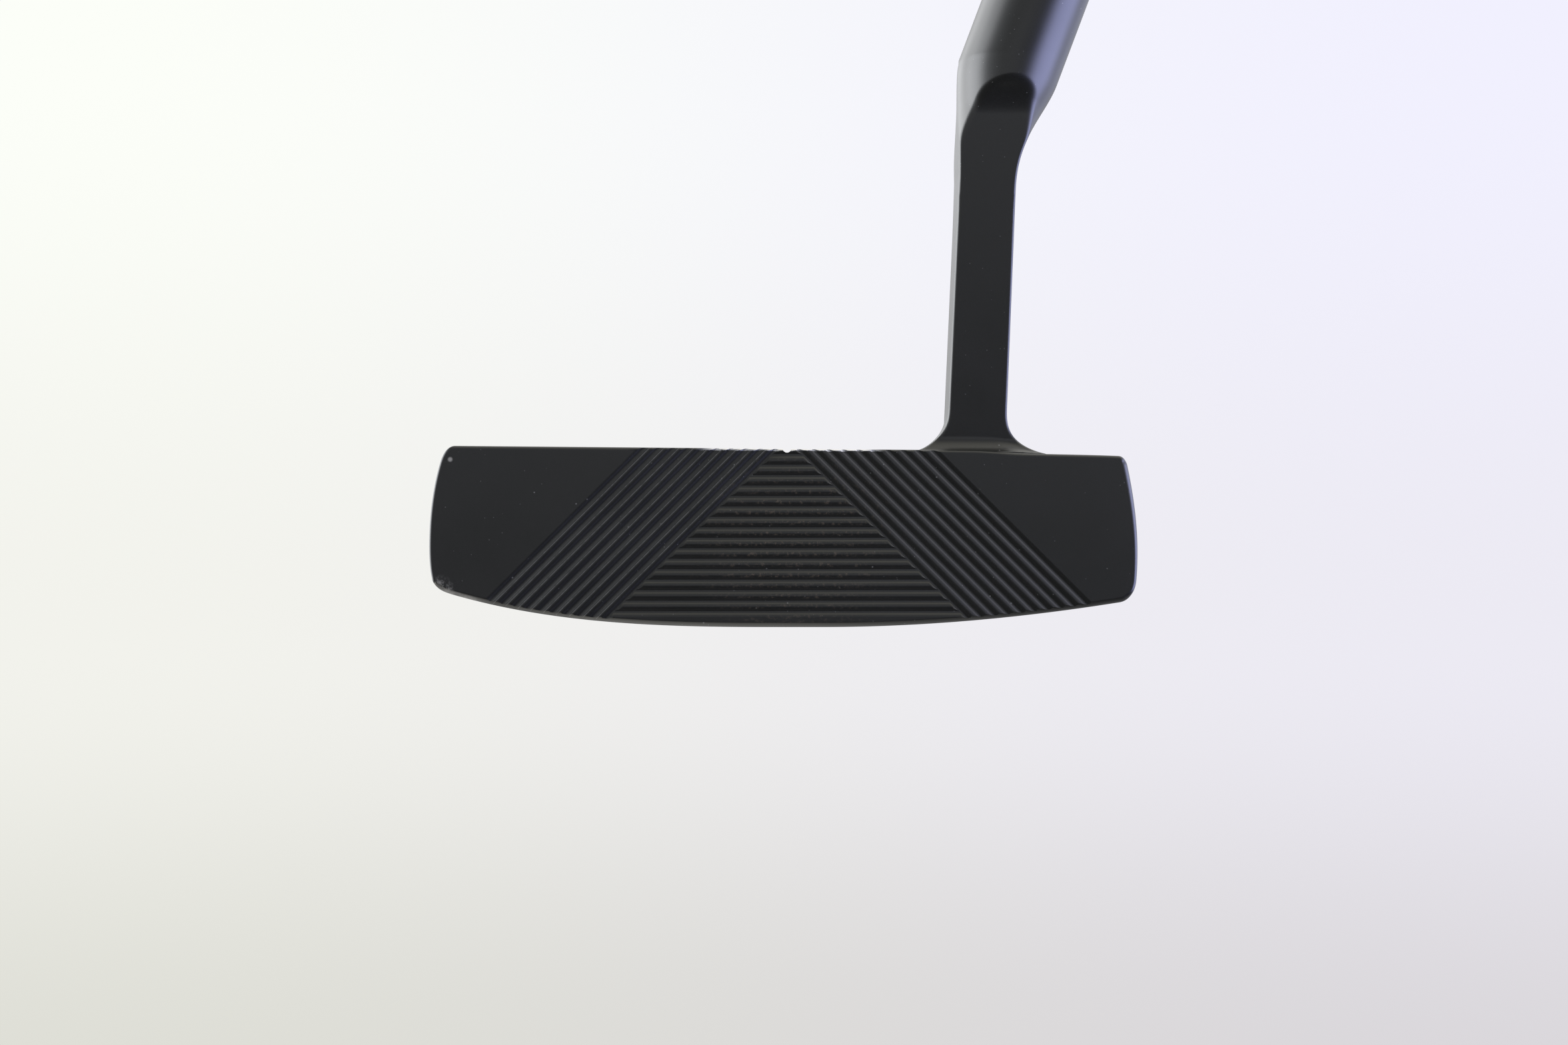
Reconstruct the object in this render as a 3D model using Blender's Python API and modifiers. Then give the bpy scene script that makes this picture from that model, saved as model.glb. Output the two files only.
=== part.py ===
"""Right-handed blade putter: a milled head with a one-piece neck and hosel, a stepped steel shaft and a
pistol grip.

Frame: the origin lies on the flat land under the sole, in the plane of the shaft axis. +X runs from toe to
heel, +Y from the face to the rear flange, +Z up. Lengths are in metres.
"""

import math

import bmesh
import bpy
from mathutils import Matrix, Vector, geometry

MM = 0.001
GAP = 0.3 * MM

# Head
LOFT = math.radians(3.0)
FACE_Y = -9.7 * MM  # leading edge of the face at the level of the sole
BLADE_DEPTH = 25.0 * MM
TOPLINE_Z = 26.9 * MM
TOPLINE_DEPTH = 8.5 * MM
EDGE_BEVEL = 0.55 * MM
FLANGE_Z = 7.0 * MM
BUMPER_Z = 17.0 * MM
BUMPER_STEP_Z = 12.5 * MM
BUMPER_STEP_Y = 7.0 * MM
CAVITY_HALF_LENGTH = 23.5 * MM
CAVITY_WALL = 5.6 * MM  # blade thickness in front of the cavity

# Face grooves, cut by a ball-nose cutter
GROOVE_PITCH = 1.5875 * MM
GROOVE_SLOPE = math.radians(32.0)  # the steepest part of a groove's wall
GROOVE_HOLLOW = 0.30 * MM  # half the width of its hollow bottom, between two rounded shoulders
GROOVE_APEX_Z = 28.85 * MM  # where the two innermost slanted grooves would cross
SLANTED_GROOVES = 10
LEVEL_GROOVES = 16
TOP_LEVEL_GROOVE_Z = 26.17 * MM
LEVEL_GROOVE_SHARE = 0.93  # depth against the slanted grooves
LEVEL_GROOVE_SHORT = 0.17 * MM  # how far its end stays from the slanted groove's centre line
SIGHT_NOTCH_WIDTH = 1.35 * MM
SIGHT_NOTCH_DEPTH = 0.35 * MM
SIGHT_LINE_WIDTH = 2.2 * MM
SIGHT_LINE_DEPTH = 0.8 * MM
SIGHT_LINE_START_Y = 1.0 * MM
SIGHT_LINE_END_Y = 13.0 * MM

# Neck and hosel
LEAN = math.radians(20.7)
AXIS_X = 1.95 * MM  # where the shaft axis meets the level of the sole
HOSEL_RADIUS = 7.85 * MM
HOSEL_RIM = 119.7 * MM  # along the shaft axis
HOSEL_BORE_RADIUS = 5.6 * MM
HOSEL_BORE_DEPTH = 25.0 * MM
NECK_FRONT_Y = -5.9 * MM
NECK_BACK_Y = 4.1 * MM
NECK_FRONT_FILLET = 8.0 * MM
NECK_BASE_FILLET = 2.8 * MM
NECK_BASE_Z = 26.1 * MM  # where that fillet would end
NECK_BASE_Y = -7.5 * MM
NECK_FRONT_TOP_Z = 78.6 * MM  # where the flat front starts to curve out
NECK_BOTTOM_Z = 9.0 * MM
SWELL_START_Z = 66.0 * MM
SWELL_END_Z = 84.0 * MM
FLARE_LEFT = (5.2 * MM, 6.9 * MM, 2.8)  # reach, rise and power of the fillet at the foot of the neck
FLARE_RIGHT = (6.7 * MM, 8.0 * MM, 3.6)
FLARE_LEFT_Z = 26.85 * MM
FLARE_RIGHT_Z = 26.35 * MM
TILT_START_Z = 88.0 * MM
TILT_END_Z = 100.0 * MM

# Shaft, measured along its axis from the level of the sole
CLUB_LENGTH = 889.0 * MM
SHAFT_TIP = 96.0 * MM
SHAFT_TIP_RADIUS = 4.7 * MM
SHAFT_BUTT_RADIUS = 7.37 * MM
SHAFT_WALL = 0.6 * MM
SHAFT_STEPS = 10
FIRST_STEP = 260.0 * MM
STEP_SPACING = 31.0 * MM
STEP_LENGTH = 2.0 * MM
PLUG_LENGTH = 8.0 * MM
EPOXY_LENGTH = 22.0 * MM
EPOXY_WALL = 0.3 * MM
BAND_START = 574.0 * MM
BAND_LENGTH = 38.0 * MM
BAND_WALL = 0.15 * MM

# Grip
GRIP_LENGTH = 267.0 * MM
CAP_THICKNESS = 2.4 * MM
TAPE_WALL = 0.2 * MM
GRIP_LOWER_RADIUS = 11.4 * MM
GRIP_UPPER_RADIUS = 13.4 * MM
GRIP_FLAT = 9.8 * MM  # distance of the flat front from the axis
GRIP_BULGE = 4.2 * MM
GRIP_END_ROUND = 1.6 * MM
VENT_RADIUS = 1.3 * MM

FINE_RING = 28
SHAFT_SIDES = 24
GRIP_SIDES = 36
CUT_MARGIN = 20.0 * MM  # how far a cutter reaches past what it cuts


def clear_scene():
    for obj in list(bpy.data.objects):
        bpy.data.objects.remove(obj, do_unlink=True)


def new_collection(name):
    collection = bpy.data.collections.new(name)
    bpy.context.scene.collection.children.link(collection)
    return collection


def new_material(name, colour, roughness, metallic):
    material = bpy.data.materials.new(name)
    material.use_nodes = True
    shader = material.node_tree.nodes["Principled BSDF"]
    shader.inputs["Base Color"].default_value = (*colour, 1.0)
    shader.inputs["Roughness"].default_value = roughness
    shader.inputs["Metallic"].default_value = metallic
    return material


def lerp(a, b, t):
    return a + (b - a) * t


def smoothstep(start, end, value):
    t = min(max((value - start) / (end - start), 0.0), 1.0)
    return t * t * (3.0 - 2.0 * t)


def smooth_max(a, b, width):
    return 0.5 * (a + b + math.sqrt((a - b) ** 2 + width**2))


def smooth_path(knots):
    """Points of a path of near-circular arcs. A knot is (u, v, heading in degrees, segments to the next)."""
    points = []
    for (u0, v0, heading0, segments), (u1, v1, heading1, _) in zip(knots, knots[1:]):
        start = Vector((u0, v0))
        end = Vector((u1, v1))
        turn = math.radians((heading1 - heading0 + 180.0) % 360.0 - 180.0)
        handle = (end - start).length / (3.0 * math.cos(turn / 4.0) ** 2)
        leave = Vector((math.cos(math.radians(heading0)), math.sin(math.radians(heading0)))) * handle
        arrive = Vector((math.cos(math.radians(heading1)), math.sin(math.radians(heading1)))) * handle
        arc = geometry.interpolate_bezier(start, start + leave, end - arrive, end, segments + 1)
        points.extend(arc[:-1])
    return [(p[0] * MM, p[1] * MM) for p in points]


def face_outline():
    """The blade's outline from the front, (x, z), clockwise from the toe end of the topline."""
    knots = [
        (-50.6, 27.6, -0.5, 3),
        (28.0, 26.92, -0.5, 2),
        (36.0, 26.45, -2.0, 2),
        (50.5, 26.06, -2.5, 3),
        (51.95, 24.6, -78.5, 4),
        (53.35, 12.0, -90.0, 1),
        (53.15, 7.2, -95.0, 4),
        (50.6, 3.75, -171.0, 9),
        (5.5, 0.0, -180.0, 1),
        (-2.5, 0.0, -180.0, 9),
        (-50.0, 4.68, -195.5, 2),
        (-52.5, 5.54, -207.0, 3),
        (-54.0, 7.4, -258.0, 2),
        (-54.45, 12.7, -270.0, 4),
        (-52.9, 25.0, -285.8, 4),
        (-50.6, 27.6, -360.5, 0),
    ]
    return smooth_path(knots)


def plan_outline():
    """The head's outline from above, (x, y), anticlockwise; it is open past the face."""
    knots = [
        (54.4, -25.0, 90.0, 1),
        (54.4, -1.0, 90.0, 6),
        (42.0, 13.0, 173.0, 5),
        (0.0, 15.3, 180.0, 5),
        (-42.0, 13.0, 187.0, 6),
        (-55.6, -1.0, 270.0, 1),
        (-55.6, -25.0, 270.0, 0),
    ]
    return smooth_path(knots) + [(-55.6 * MM, -25.0 * MM)]


def finish_object(name, bm, collection, material=None, smooth_angle=30.0):
    bmesh.ops.remove_doubles(bm, verts=bm.verts, dist=0.001 * MM)
    bmesh.ops.recalc_face_normals(bm, faces=bm.faces)
    mesh = bpy.data.meshes.new(name)
    bm.to_mesh(mesh)
    bm.free()
    mesh.shade_smooth()
    mesh.set_sharp_from_angle(angle=math.radians(smooth_angle))
    obj = bpy.data.objects.new(name, mesh)
    collection.objects.link(obj)
    if material is None:
        obj.hide_render = True
        obj.display_type = "WIRE"
    else:
        mesh.materials.append(material)
    return obj


def prism(bm, ring, offset):
    """A closed prism from a flat ring of corners, drawn out by offset."""
    face = bm.faces.new([bm.verts.new(corner) for corner in ring])
    drawn = bmesh.ops.extrude_face_region(bm, geom=[face], use_keep_orig=True)
    moved = [item for item in drawn["geom"] if isinstance(item, bmesh.types.BMVert)]
    bmesh.ops.translate(bm, verts=moved, vec=offset)
    return face


def loft(bm, rings):
    """A closed skin over rings of equal length."""
    rows = [[bm.verts.new(point) for point in ring] for ring in rings]
    count = len(rows[0])
    for low, high in zip(rows, rows[1:]):
        for i in range(count):
            j = (i + 1) % count
            bm.faces.new((low[i], low[j], high[j], high[i]))
    bm.faces.new(rows[0][::-1])
    bm.faces.new(rows[-1])


def box(bm, low, high):
    centre = (Vector(low) + Vector(high)) / 2.0
    size = Vector(high) - Vector(low)
    matrix = Matrix.Translation(centre) @ Matrix.Diagonal((*size, 1.0))
    return bmesh.ops.create_cube(bm, size=1.0, matrix=matrix)["verts"]


def bevel_edges(bm, chosen, width, segments):
    edges = [edge for edge in bm.edges if chosen(edge)]
    bmesh.ops.bevel(
        bm, geom=edges, offset=width, offset_type="OFFSET", segments=segments, profile=0.5, affect="EDGES"
    )


def lean_back(bm):
    """Shears what is drawn on an upright face, so that the face has its loft."""
    shear = Matrix.Identity(4)
    shear[1][2] = math.tan(LOFT)
    bmesh.ops.transform(bm, matrix=shear, verts=bm.verts)


def add_boolean(obj, cutter, operation):
    modifier = obj.modifiers.new(cutter.name, "BOOLEAN")
    modifier.operation = operation
    modifier.solver = "EXACT"
    modifier.object = cutter


def cut_with_all(obj, cutters, name, made):
    """One exact cut with several pieces, which may cross each other."""
    group = bpy.data.collections.new(name)
    cutters.children.link(group)
    for cutter in made:
        cutters.objects.unlink(cutter)
        group.objects.link(cutter)
    modifier = obj.modifiers.new(name, "BOOLEAN")
    modifier.operation = "DIFFERENCE"
    modifier.solver = "EXACT"
    modifier.operand_type = "COLLECTION"
    modifier.collection = group


def make_blade(collection, material):
    bm = bmesh.new()
    ring = [(x, FACE_Y, z) for x, z in face_outline()]
    prism(bm, ring, Vector((0.0, BLADE_DEPTH + CUT_MARGIN, 0.0)))
    bevel_edges(bm, lambda edge: all(abs(v.co.y - FACE_Y) < GAP for v in edge.verts), EDGE_BEVEL, 2)
    lean_back(bm)
    return finish_object("head", bm, collection, material)


def make_plan_block(cutters):
    bm = bmesh.new()
    ring = [(x, y, -CUT_MARGIN) for x, y in plan_outline()]
    prism(bm, ring, Vector((0.0, 0.0, 4.0 * CUT_MARGIN)))
    return finish_object("plan_block", bm, cutters)


def make_rear_cut(cutters, name, half_length, front_y, floor_z, fillet):
    """A block that clears the rear of the blade above floor_z, with its corners rounded."""
    bm = bmesh.new()
    low = (-half_length, front_y, floor_z)
    high = (half_length, BLADE_DEPTH + CUT_MARGIN, 4.0 * CUT_MARGIN)
    box(bm, low, high)
    bevel_edges(bm, lambda edge: min(v.co.z for v in edge.verts) < floor_z + GAP, fillet, 3)
    lean_back(bm)
    return finish_object(name, bm, cutters)


def groove_profile(share):
    """Groove section, (across, into the face), at a share of the full depth."""
    half_width = GROOVE_PITCH / 2.0
    shoulder = (half_width - GROOVE_HOLLOW) / math.sin(GROOVE_SLOPE)
    hollow = GROOVE_HOLLOW / math.sin(GROOVE_SLOPE)
    depth = (shoulder + hollow) * (1.0 - math.cos(GROOVE_SLOPE))
    first = math.radians(10.0)
    start = half_width - shoulder * math.tan(first / 2.0)
    half = [(start, -MM), (start, 0.0)]
    for angle in (first, (first + GROOVE_SLOPE) / 2.0, GROOVE_SLOPE):
        half.append((half_width - shoulder * math.sin(angle), shoulder * (1.0 - math.cos(angle)) * share))
    angle = GROOVE_SLOPE / 2.0
    half.append((hollow * math.sin(angle), (depth - hollow * (1.0 - math.cos(angle))) * share))
    left = [(-across, into) for across, into in half]
    return left + [(0.0, depth * share)] + half[::-1]


def add_groove(bm, start, end, share, end_slope):
    """A groove cutter between two (x, z) points. end_slope shears each end by its share of the width."""
    along = (Vector(end) - Vector(start)).normalized()
    across = Vector((-along.y, along.x))
    rings = []
    for point, slope in ((Vector(start), end_slope), (Vector(end), -end_slope)):
        ring = []
        for offset, into in groove_profile(share):
            place = point + across * offset + along * (offset * slope)
            ring.append((place.x, FACE_Y + into, place.y))
        rings.append(ring)
    loft(bm, rings)


def make_slanted_grooves(cutters):
    bm = bmesh.new()
    top = TOPLINE_Z + 0.9 * MM
    for side in (-1.0, 1.0):
        for i in range(SLANTED_GROOVES):
            reach = GROOVE_APEX_Z + i * GROOVE_PITCH * math.sqrt(2.0)
            bottom = -1.0 * MM
            start = (side * (reach - bottom), bottom)
            end = (side * (reach - top), top)
            add_groove(bm, start, end, 1.0, 0.0)
    lean_back(bm)
    return finish_object("slanted_grooves", bm, cutters)


def make_level_grooves(cutters):
    """Level grooves, which run out inside the innermost slanted ones."""
    bm = bmesh.new()
    for i in range(LEVEL_GROOVES):
        z = TOP_LEVEL_GROOVE_Z - i * GROOVE_PITCH
        half_length = GROOVE_APEX_Z - LEVEL_GROOVE_SHORT - z
        add_groove(bm, (-half_length, z), (half_length, z), LEVEL_GROOVE_SHARE, 1.0)
    lean_back(bm)
    return finish_object("level_grooves", bm, cutters)


def make_sight_notch(cutters):
    bm = bmesh.new()
    radius = SIGHT_NOTCH_WIDTH / 2.0
    floor = TOPLINE_Z - SIGHT_NOTCH_DEPTH
    ring = [(radius, FACE_Y - MM, TOPLINE_Z + 2.0 * MM), (-radius, FACE_Y - MM, TOPLINE_Z + 2.0 * MM)]
    for i in range(7):
        angle = math.pi * (1.0 + i / 6.0)
        ring.append((radius * math.cos(angle), FACE_Y - MM, floor + radius * (1.0 + math.sin(angle))))
    prism(bm, ring, Vector((0.0, BLADE_DEPTH, 0.0)))
    return finish_object("sight_notch", bm, cutters)


def make_sight_line(cutters):
    bm = bmesh.new()
    half = SIGHT_LINE_WIDTH / 2.0
    low = (-half, SIGHT_LINE_START_Y, FLANGE_Z - SIGHT_LINE_DEPTH)
    high = (half, SIGHT_LINE_END_Y, FLANGE_Z + 2.0 * MM)
    box(bm, low, high)
    bevel_edges(bm, is_upright, half * 0.9, 3)
    return finish_object("sight_line", bm, cutters)


def is_upright(edge):
    a, b = (v.co for v in edge.verts)
    return abs(a.x - b.x) < GAP and abs(a.y - b.y) < GAP


def axis_x(z):
    return AXIS_X + z * math.tan(LEAN)


def neck_section(z):
    """(left, right, front, back, corner share) of the neck at height z."""
    half_round = HOSEL_RADIUS / math.cos(LEAN)
    swell = smoothstep(SWELL_START_Z, SWELL_END_Z, z)
    plain_left = min(24.9 * MM + 0.045 * (z - 34.9 * MM), 26.45 * MM)
    plain_right = 33.85 * MM + 0.04 * (z - 34.7 * MM)
    left = smooth_max(plain_left, axis_x(z) - half_round, 0.5 * MM)
    right = lerp(plain_right, axis_x(z) + half_round, swell)
    back = lerp(NECK_BACK_Y, HOSEL_RADIUS, smoothstep(58.0 * MM, SWELL_END_Z, z))
    corner = lerp(0.14, 1.0, smoothstep(71.5 * MM, 81.0 * MM, z))
    if z >= TILT_START_Z:
        left = axis_x(z) - half_round
    return left, right, -HOSEL_RADIUS, back, corner


def flare(height, size):
    """How far a fillet of size (reach, rise, power) stands out at a height above its foot."""
    reach, rise, power = size
    share = 1.0 - min(max(height, 0.15 * MM), rise) / rise
    return reach * (0.8 * share**power + 0.2 * (1.0 - math.sqrt(1.0 - share**12)))


def neck_ring(z):
    """Points round the neck at height z. Above TILT_START_Z they slide along the shaft axis, square to it."""
    left, right, front, back, corner = neck_section(z)
    half_x = (right - left) / 2.0
    half_y = (back - front) / 2.0
    middle_x = (left + right) / 2.0
    middle_y = (front + back) / 2.0
    tilt = min(max((z - TILT_START_Z) / (TILT_END_Z - TILT_START_Z), 0.0), 1.0)
    topline_rear = FACE_Y + z * math.tan(LOFT) + TOPLINE_DEPTH
    per_corner = FINE_RING // 4
    ring = []
    for quarter, (sx, sy) in enumerate(((1, 1), (-1, 1), (-1, -1), (1, -1))):
        for i in range(per_corner + 1):
            angle = math.pi / 2.0 * (quarter + i / per_corner)
            x = middle_x + half_x * (sx * (1.0 - corner) + corner * math.cos(angle))
            y = middle_y + half_y * (sy * (1.0 - corner) + corner * math.sin(angle))
            in_front = 1.0 - smoothstep(topline_rear - 0.3 * MM, topline_rear + 1.6 * MM, y)
            if x < middle_x:
                x -= flare(z - FLARE_LEFT_Z, FLARE_LEFT) * in_front
            else:
                x += flare(z - FLARE_RIGHT_Z, FLARE_RIGHT) * in_front
            slide = -(x - axis_x(z)) * math.sin(LEAN) * tilt
            ring.append((x + slide * math.sin(LEAN), y, z + slide * math.cos(LEAN)))
    return ring


def neck_heights():
    rim_z = HOSEL_RIM * math.cos(LEAN)
    foot = [NECK_BOTTOM_Z, FLARE_RIGHT_Z]
    flares = [FLARE_LEFT_Z + h * MM for h in (0.15, 0.4, 0.9, 1.5, 2.2, 3.2, 4.6, 6.0, 7.6)]
    swell = [SWELL_START_Z - 8.0 * MM + i * 2.5 * MM for i in range(12)]
    return foot + flares + [50.0 * MM] + swell + [TILT_START_Z, TILT_END_Z, rim_z]


def make_neck(cutters):
    bm = bmesh.new()
    loft(bm, [neck_ring(z) for z in neck_heights()])
    return finish_object("neck", bm, cutters)


def make_neck_front_cut(cutters):
    """Clears the front of the neck to its flat, with a small fillet at the base and a large one on top."""
    profile = []
    base_front = NECK_FRONT_Y - NECK_BASE_FILLET
    first = math.asin((NECK_BASE_Y - base_front) / NECK_BASE_FILLET)
    for i in range(6):
        angle = lerp(first, math.pi / 2.0, i / 5.0)
        y = base_front + NECK_BASE_FILLET * math.sin(angle)
        z = NECK_BASE_Z + NECK_BASE_FILLET * (1.0 - math.cos(angle))
        profile.append((y, z))
    for i in range(7):
        angle = math.radians(50.0) * i / 6.0
        y = NECK_FRONT_Y - NECK_FRONT_FILLET * (1.0 - math.cos(angle))
        z = NECK_FRONT_TOP_Z + NECK_FRONT_FILLET * math.sin(angle)
        profile.append((y, z))
    profile.append((profile[-1][0] - CUT_MARGIN, profile[-1][1]))
    profile.append((profile[-1][0], profile[0][1]))
    bm = bmesh.new()
    prism(bm, [(0.0, y, z) for y, z in profile], Vector((4.0 * CUT_MARGIN, 0.0, 0.0)))
    return finish_object("neck_front_cut", bm, cutters)


def make_hosel_bore(cutters, axis):
    bm = bmesh.new()
    depth = HOSEL_BORE_DEPTH + CUT_MARGIN
    centre = Matrix.Translation((0.0, 0.0, HOSEL_RIM - HOSEL_BORE_DEPTH + depth / 2.0))
    bmesh.ops.create_cone(
        bm,
        cap_ends=True,
        segments=FINE_RING,
        radius1=HOSEL_BORE_RADIUS,
        radius2=HOSEL_BORE_RADIUS,
        depth=depth,
        matrix=centre,
    )
    bore = finish_object("hosel_bore", bm, cutters)
    bore.parent = axis
    return bore


def make_head(parts, cutters, axis):
    steel = new_material("black_satin_steel", (0.017, 0.018, 0.018), 0.38, 0.6)
    head = make_blade(parts, steel)
    wide = 4.0 * CUT_MARGIN
    topline_rear = FACE_Y + TOPLINE_DEPTH
    cavity_front = FACE_Y + CAVITY_WALL
    rear_cuts = [
        make_rear_cut(cutters, "bumper_cut", wide, topline_rear, BUMPER_Z, 2.0 * MM),
        make_rear_cut(cutters, "step_cut", wide, BUMPER_STEP_Y, BUMPER_STEP_Z, 1.5 * MM),
        make_rear_cut(cutters, "cavity_cut", CAVITY_HALF_LENGTH, cavity_front, FLANGE_Z, 2.5 * MM),
    ]
    details = [
        make_slanted_grooves(cutters),
        make_level_grooves(cutters),
        make_sight_notch(cutters),
        make_sight_line(cutters),
        make_hosel_bore(cutters, axis),
    ]
    add_boolean(head, make_plan_block(cutters), "INTERSECT")
    cut_with_all(head, cutters, "rear_cuts", rear_cuts)
    neck = make_neck(cutters)
    add_boolean(neck, make_neck_front_cut(cutters), "DIFFERENCE")
    add_boolean(head, neck, "UNION")
    cut_with_all(head, cutters, "details", details)
    return head


def make_sight_paint(parts):
    """The paint that fills the sight line on the flange."""
    paint = new_material("white_paint", (0.85, 0.85, 0.83), 0.4, 0.0)
    bm = bmesh.new()
    half = SIGHT_LINE_WIDTH / 2.0 - GAP
    low = (-half, SIGHT_LINE_START_Y + GAP, FLANGE_Z - SIGHT_LINE_DEPTH + GAP)
    high = (half, SIGHT_LINE_END_Y - GAP, FLANGE_Z - 0.1 * MM)
    box(bm, low, high)
    bevel_edges(bm, is_upright, half * 0.9, 3)
    return finish_object("flange_sight_paint", bm, parts, paint)


def turned(name, profile, sides, parts, material, axis):
    """A turned piece round the shaft axis. The closed profile, (radius, height), runs down its outside."""
    mesh = bpy.data.meshes.new(name)
    count = len(profile)
    mesh.from_pydata([(r, 0.0, z) for r, z in profile], [(i, (i + 1) % count) for i in range(count)], [])
    mesh.materials.append(material)
    obj = bpy.data.objects.new(name, mesh)
    parts.objects.link(obj)
    obj.parent = axis
    screw = obj.modifiers.new("turn", "SCREW")
    screw.axis = "Z"
    screw.steps = sides
    screw.render_steps = sides
    screw.use_merge_vertices = True
    screw.merge_threshold = 0.01 * MM
    screw.use_smooth_shade = True
    return obj


def sleeve(name, inner, wall, low, high, parts, material, axis):
    outer = inner + wall
    profile = [(outer, high), (outer, low), (inner, low), (inner, high)]
    return turned(name, profile, SHAFT_SIDES, parts, material, axis)


def shaft_radius(step):
    return lerp(SHAFT_TIP_RADIUS, SHAFT_BUTT_RADIUS, step / SHAFT_STEPS)


def shaft_outline(inset):
    """The stepped wall from tip to butt, (radius, height), moved in by inset."""
    outline = [(SHAFT_TIP_RADIUS - inset, SHAFT_TIP)]
    for step in range(SHAFT_STEPS):
        height = FIRST_STEP + step * STEP_SPACING
        outline.append((shaft_radius(step) - inset, height))
        outline.append((shaft_radius(step + 1) - inset, height + STEP_LENGTH))
    outline.append((SHAFT_BUTT_RADIUS - inset, shaft_top()))
    return outline


def shaft_top():
    return CLUB_LENGTH - CAP_THICKNESS - 2.0 * GAP


def make_shaft(parts, axis):
    chrome = new_material("chrome_steel", (0.62, 0.62, 0.63), 0.18, 1.0)
    epoxy = new_material("cured_epoxy", (0.42, 0.36, 0.2), 0.35, 0.0)
    rubber = new_material("plug_rubber", (0.03, 0.03, 0.03), 0.7, 0.0)
    label = new_material("band_film", (0.05, 0.05, 0.055), 0.3, 0.0)
    profile = shaft_outline(0.0)[::-1] + shaft_outline(SHAFT_WALL)
    turned("shaft", profile, SHAFT_SIDES, parts, chrome, axis)
    plug_radius = SHAFT_TIP_RADIUS - SHAFT_WALL - GAP
    bm = bmesh.new()
    bmesh.ops.create_cone(
        bm,
        cap_ends=True,
        segments=SHAFT_SIDES,
        radius1=plug_radius,
        radius2=plug_radius * 0.92,
        depth=PLUG_LENGTH,
    )
    plug = finish_object("shaft_tip_plug", bm, parts, rubber)
    plug.parent = axis
    plug.location.z = SHAFT_TIP + PLUG_LENGTH / 2.0 + MM
    epoxy_low = SHAFT_TIP
    epoxy_inner = SHAFT_TIP_RADIUS + GAP
    sleeve(
        "hosel_epoxy", epoxy_inner, EPOXY_WALL, epoxy_low, epoxy_low + EPOXY_LENGTH, parts, epoxy, axis
    )
    band_inner = SHAFT_BUTT_RADIUS + GAP
    sleeve("shaft_band", band_inner, BAND_WALL, BAND_START, BAND_START + BAND_LENGTH, parts, label, axis)


def grip_ring(share, height, inset=0.0):
    """Points round the grip. share runs from 0 at its lower end to 1 at its cap."""
    radius = lerp(GRIP_LOWER_RADIUS, GRIP_UPPER_RADIUS, smoothstep(0.0, 1.0, share)) - inset
    bulge = GRIP_BULGE * smoothstep(0.35, 0.8, share) * (1.0 - 0.45 * smoothstep(0.85, 1.0, share))
    ring = []
    for i in range(GRIP_SIDES):
        angle = 2.0 * math.pi * i / GRIP_SIDES
        x = radius * math.cos(angle)
        y = radius * math.sin(angle)
        if x > 0.0:
            x += bulge * (x / radius) ** 2
        ring.append((max(x, -GRIP_FLAT + inset), y, height))
    return ring


def grip_bottom():
    return CLUB_LENGTH - GRIP_LENGTH


def make_grip(parts, cutters, axis):
    rubber = new_material("grip_rubber", (0.02, 0.02, 0.021), 0.75, 0.0)
    tape = new_material("grip_tape_paper", (0.6, 0.55, 0.42), 0.8, 0.0)
    tape_inner = SHAFT_BUTT_RADIUS + GAP
    top = shaft_top()
    bottom = grip_bottom()
    sleeve("grip_tape", tape_inner, TAPE_WALL, bottom + 2.0 * MM, top - MM, parts, tape, axis)

    sections = 16
    rings = [grip_ring(0.0, bottom, GRIP_END_ROUND)]
    for i in range(sections + 1):
        share = i / sections
        rings.append(grip_ring(share, lerp(bottom + GRIP_END_ROUND, top, share)))
    bm = bmesh.new()
    loft(bm, rings)
    grip = finish_object("grip", bm, parts, rubber)
    grip.parent = axis

    bore_radius = tape_inner + TAPE_WALL + GAP
    bm = bmesh.new()
    bmesh.ops.create_cone(
        bm,
        cap_ends=True,
        segments=SHAFT_SIDES,
        radius1=bore_radius,
        radius2=bore_radius,
        depth=2.0 * GRIP_LENGTH,
        matrix=Matrix.Translation((0.0, 0.0, CLUB_LENGTH - GRIP_LENGTH / 2.0)),
    )
    bore = finish_object("grip_bore", bm, cutters)
    bore.parent = axis
    add_boolean(grip, bore, "DIFFERENCE")
    make_grip_cap(parts, cutters, rubber, axis)


def make_grip_cap(parts, cutters, rubber, axis):
    low = CLUB_LENGTH - CAP_THICKNESS
    bm = bmesh.new()
    rings = [
        grip_ring(1.0, low),
        grip_ring(1.0, CLUB_LENGTH - 0.8 * MM),
        grip_ring(1.0, CLUB_LENGTH, 0.8 * MM),
    ]
    loft(bm, rings)
    cap = finish_object("grip_cap", bm, parts, rubber)
    cap.parent = axis
    bm = bmesh.new()
    bmesh.ops.create_cone(
        bm,
        cap_ends=True,
        segments=16,
        radius1=VENT_RADIUS,
        radius2=VENT_RADIUS,
        depth=CUT_MARGIN,
        matrix=Matrix.Translation((0.0, 0.0, CLUB_LENGTH)),
    )
    vent = finish_object("vent_hole", bm, cutters)
    vent.parent = axis
    add_boolean(cap, vent, "DIFFERENCE")


def main():
    clear_scene()
    parts = new_collection("blade_putter")
    cutters = new_collection("cutters")
    axis = bpy.data.objects.new("shaft_axis", None)
    axis.location = (AXIS_X, 0.0, 0.0)
    axis.rotation_euler = (0.0, LEAN, 0.0)
    parts.objects.link(axis)
    make_head(parts, cutters, axis)
    make_sight_paint(parts)
    make_shaft(parts, axis)
    make_grip(parts, cutters, axis)
    bpy.context.view_layer.update()


main()
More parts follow.
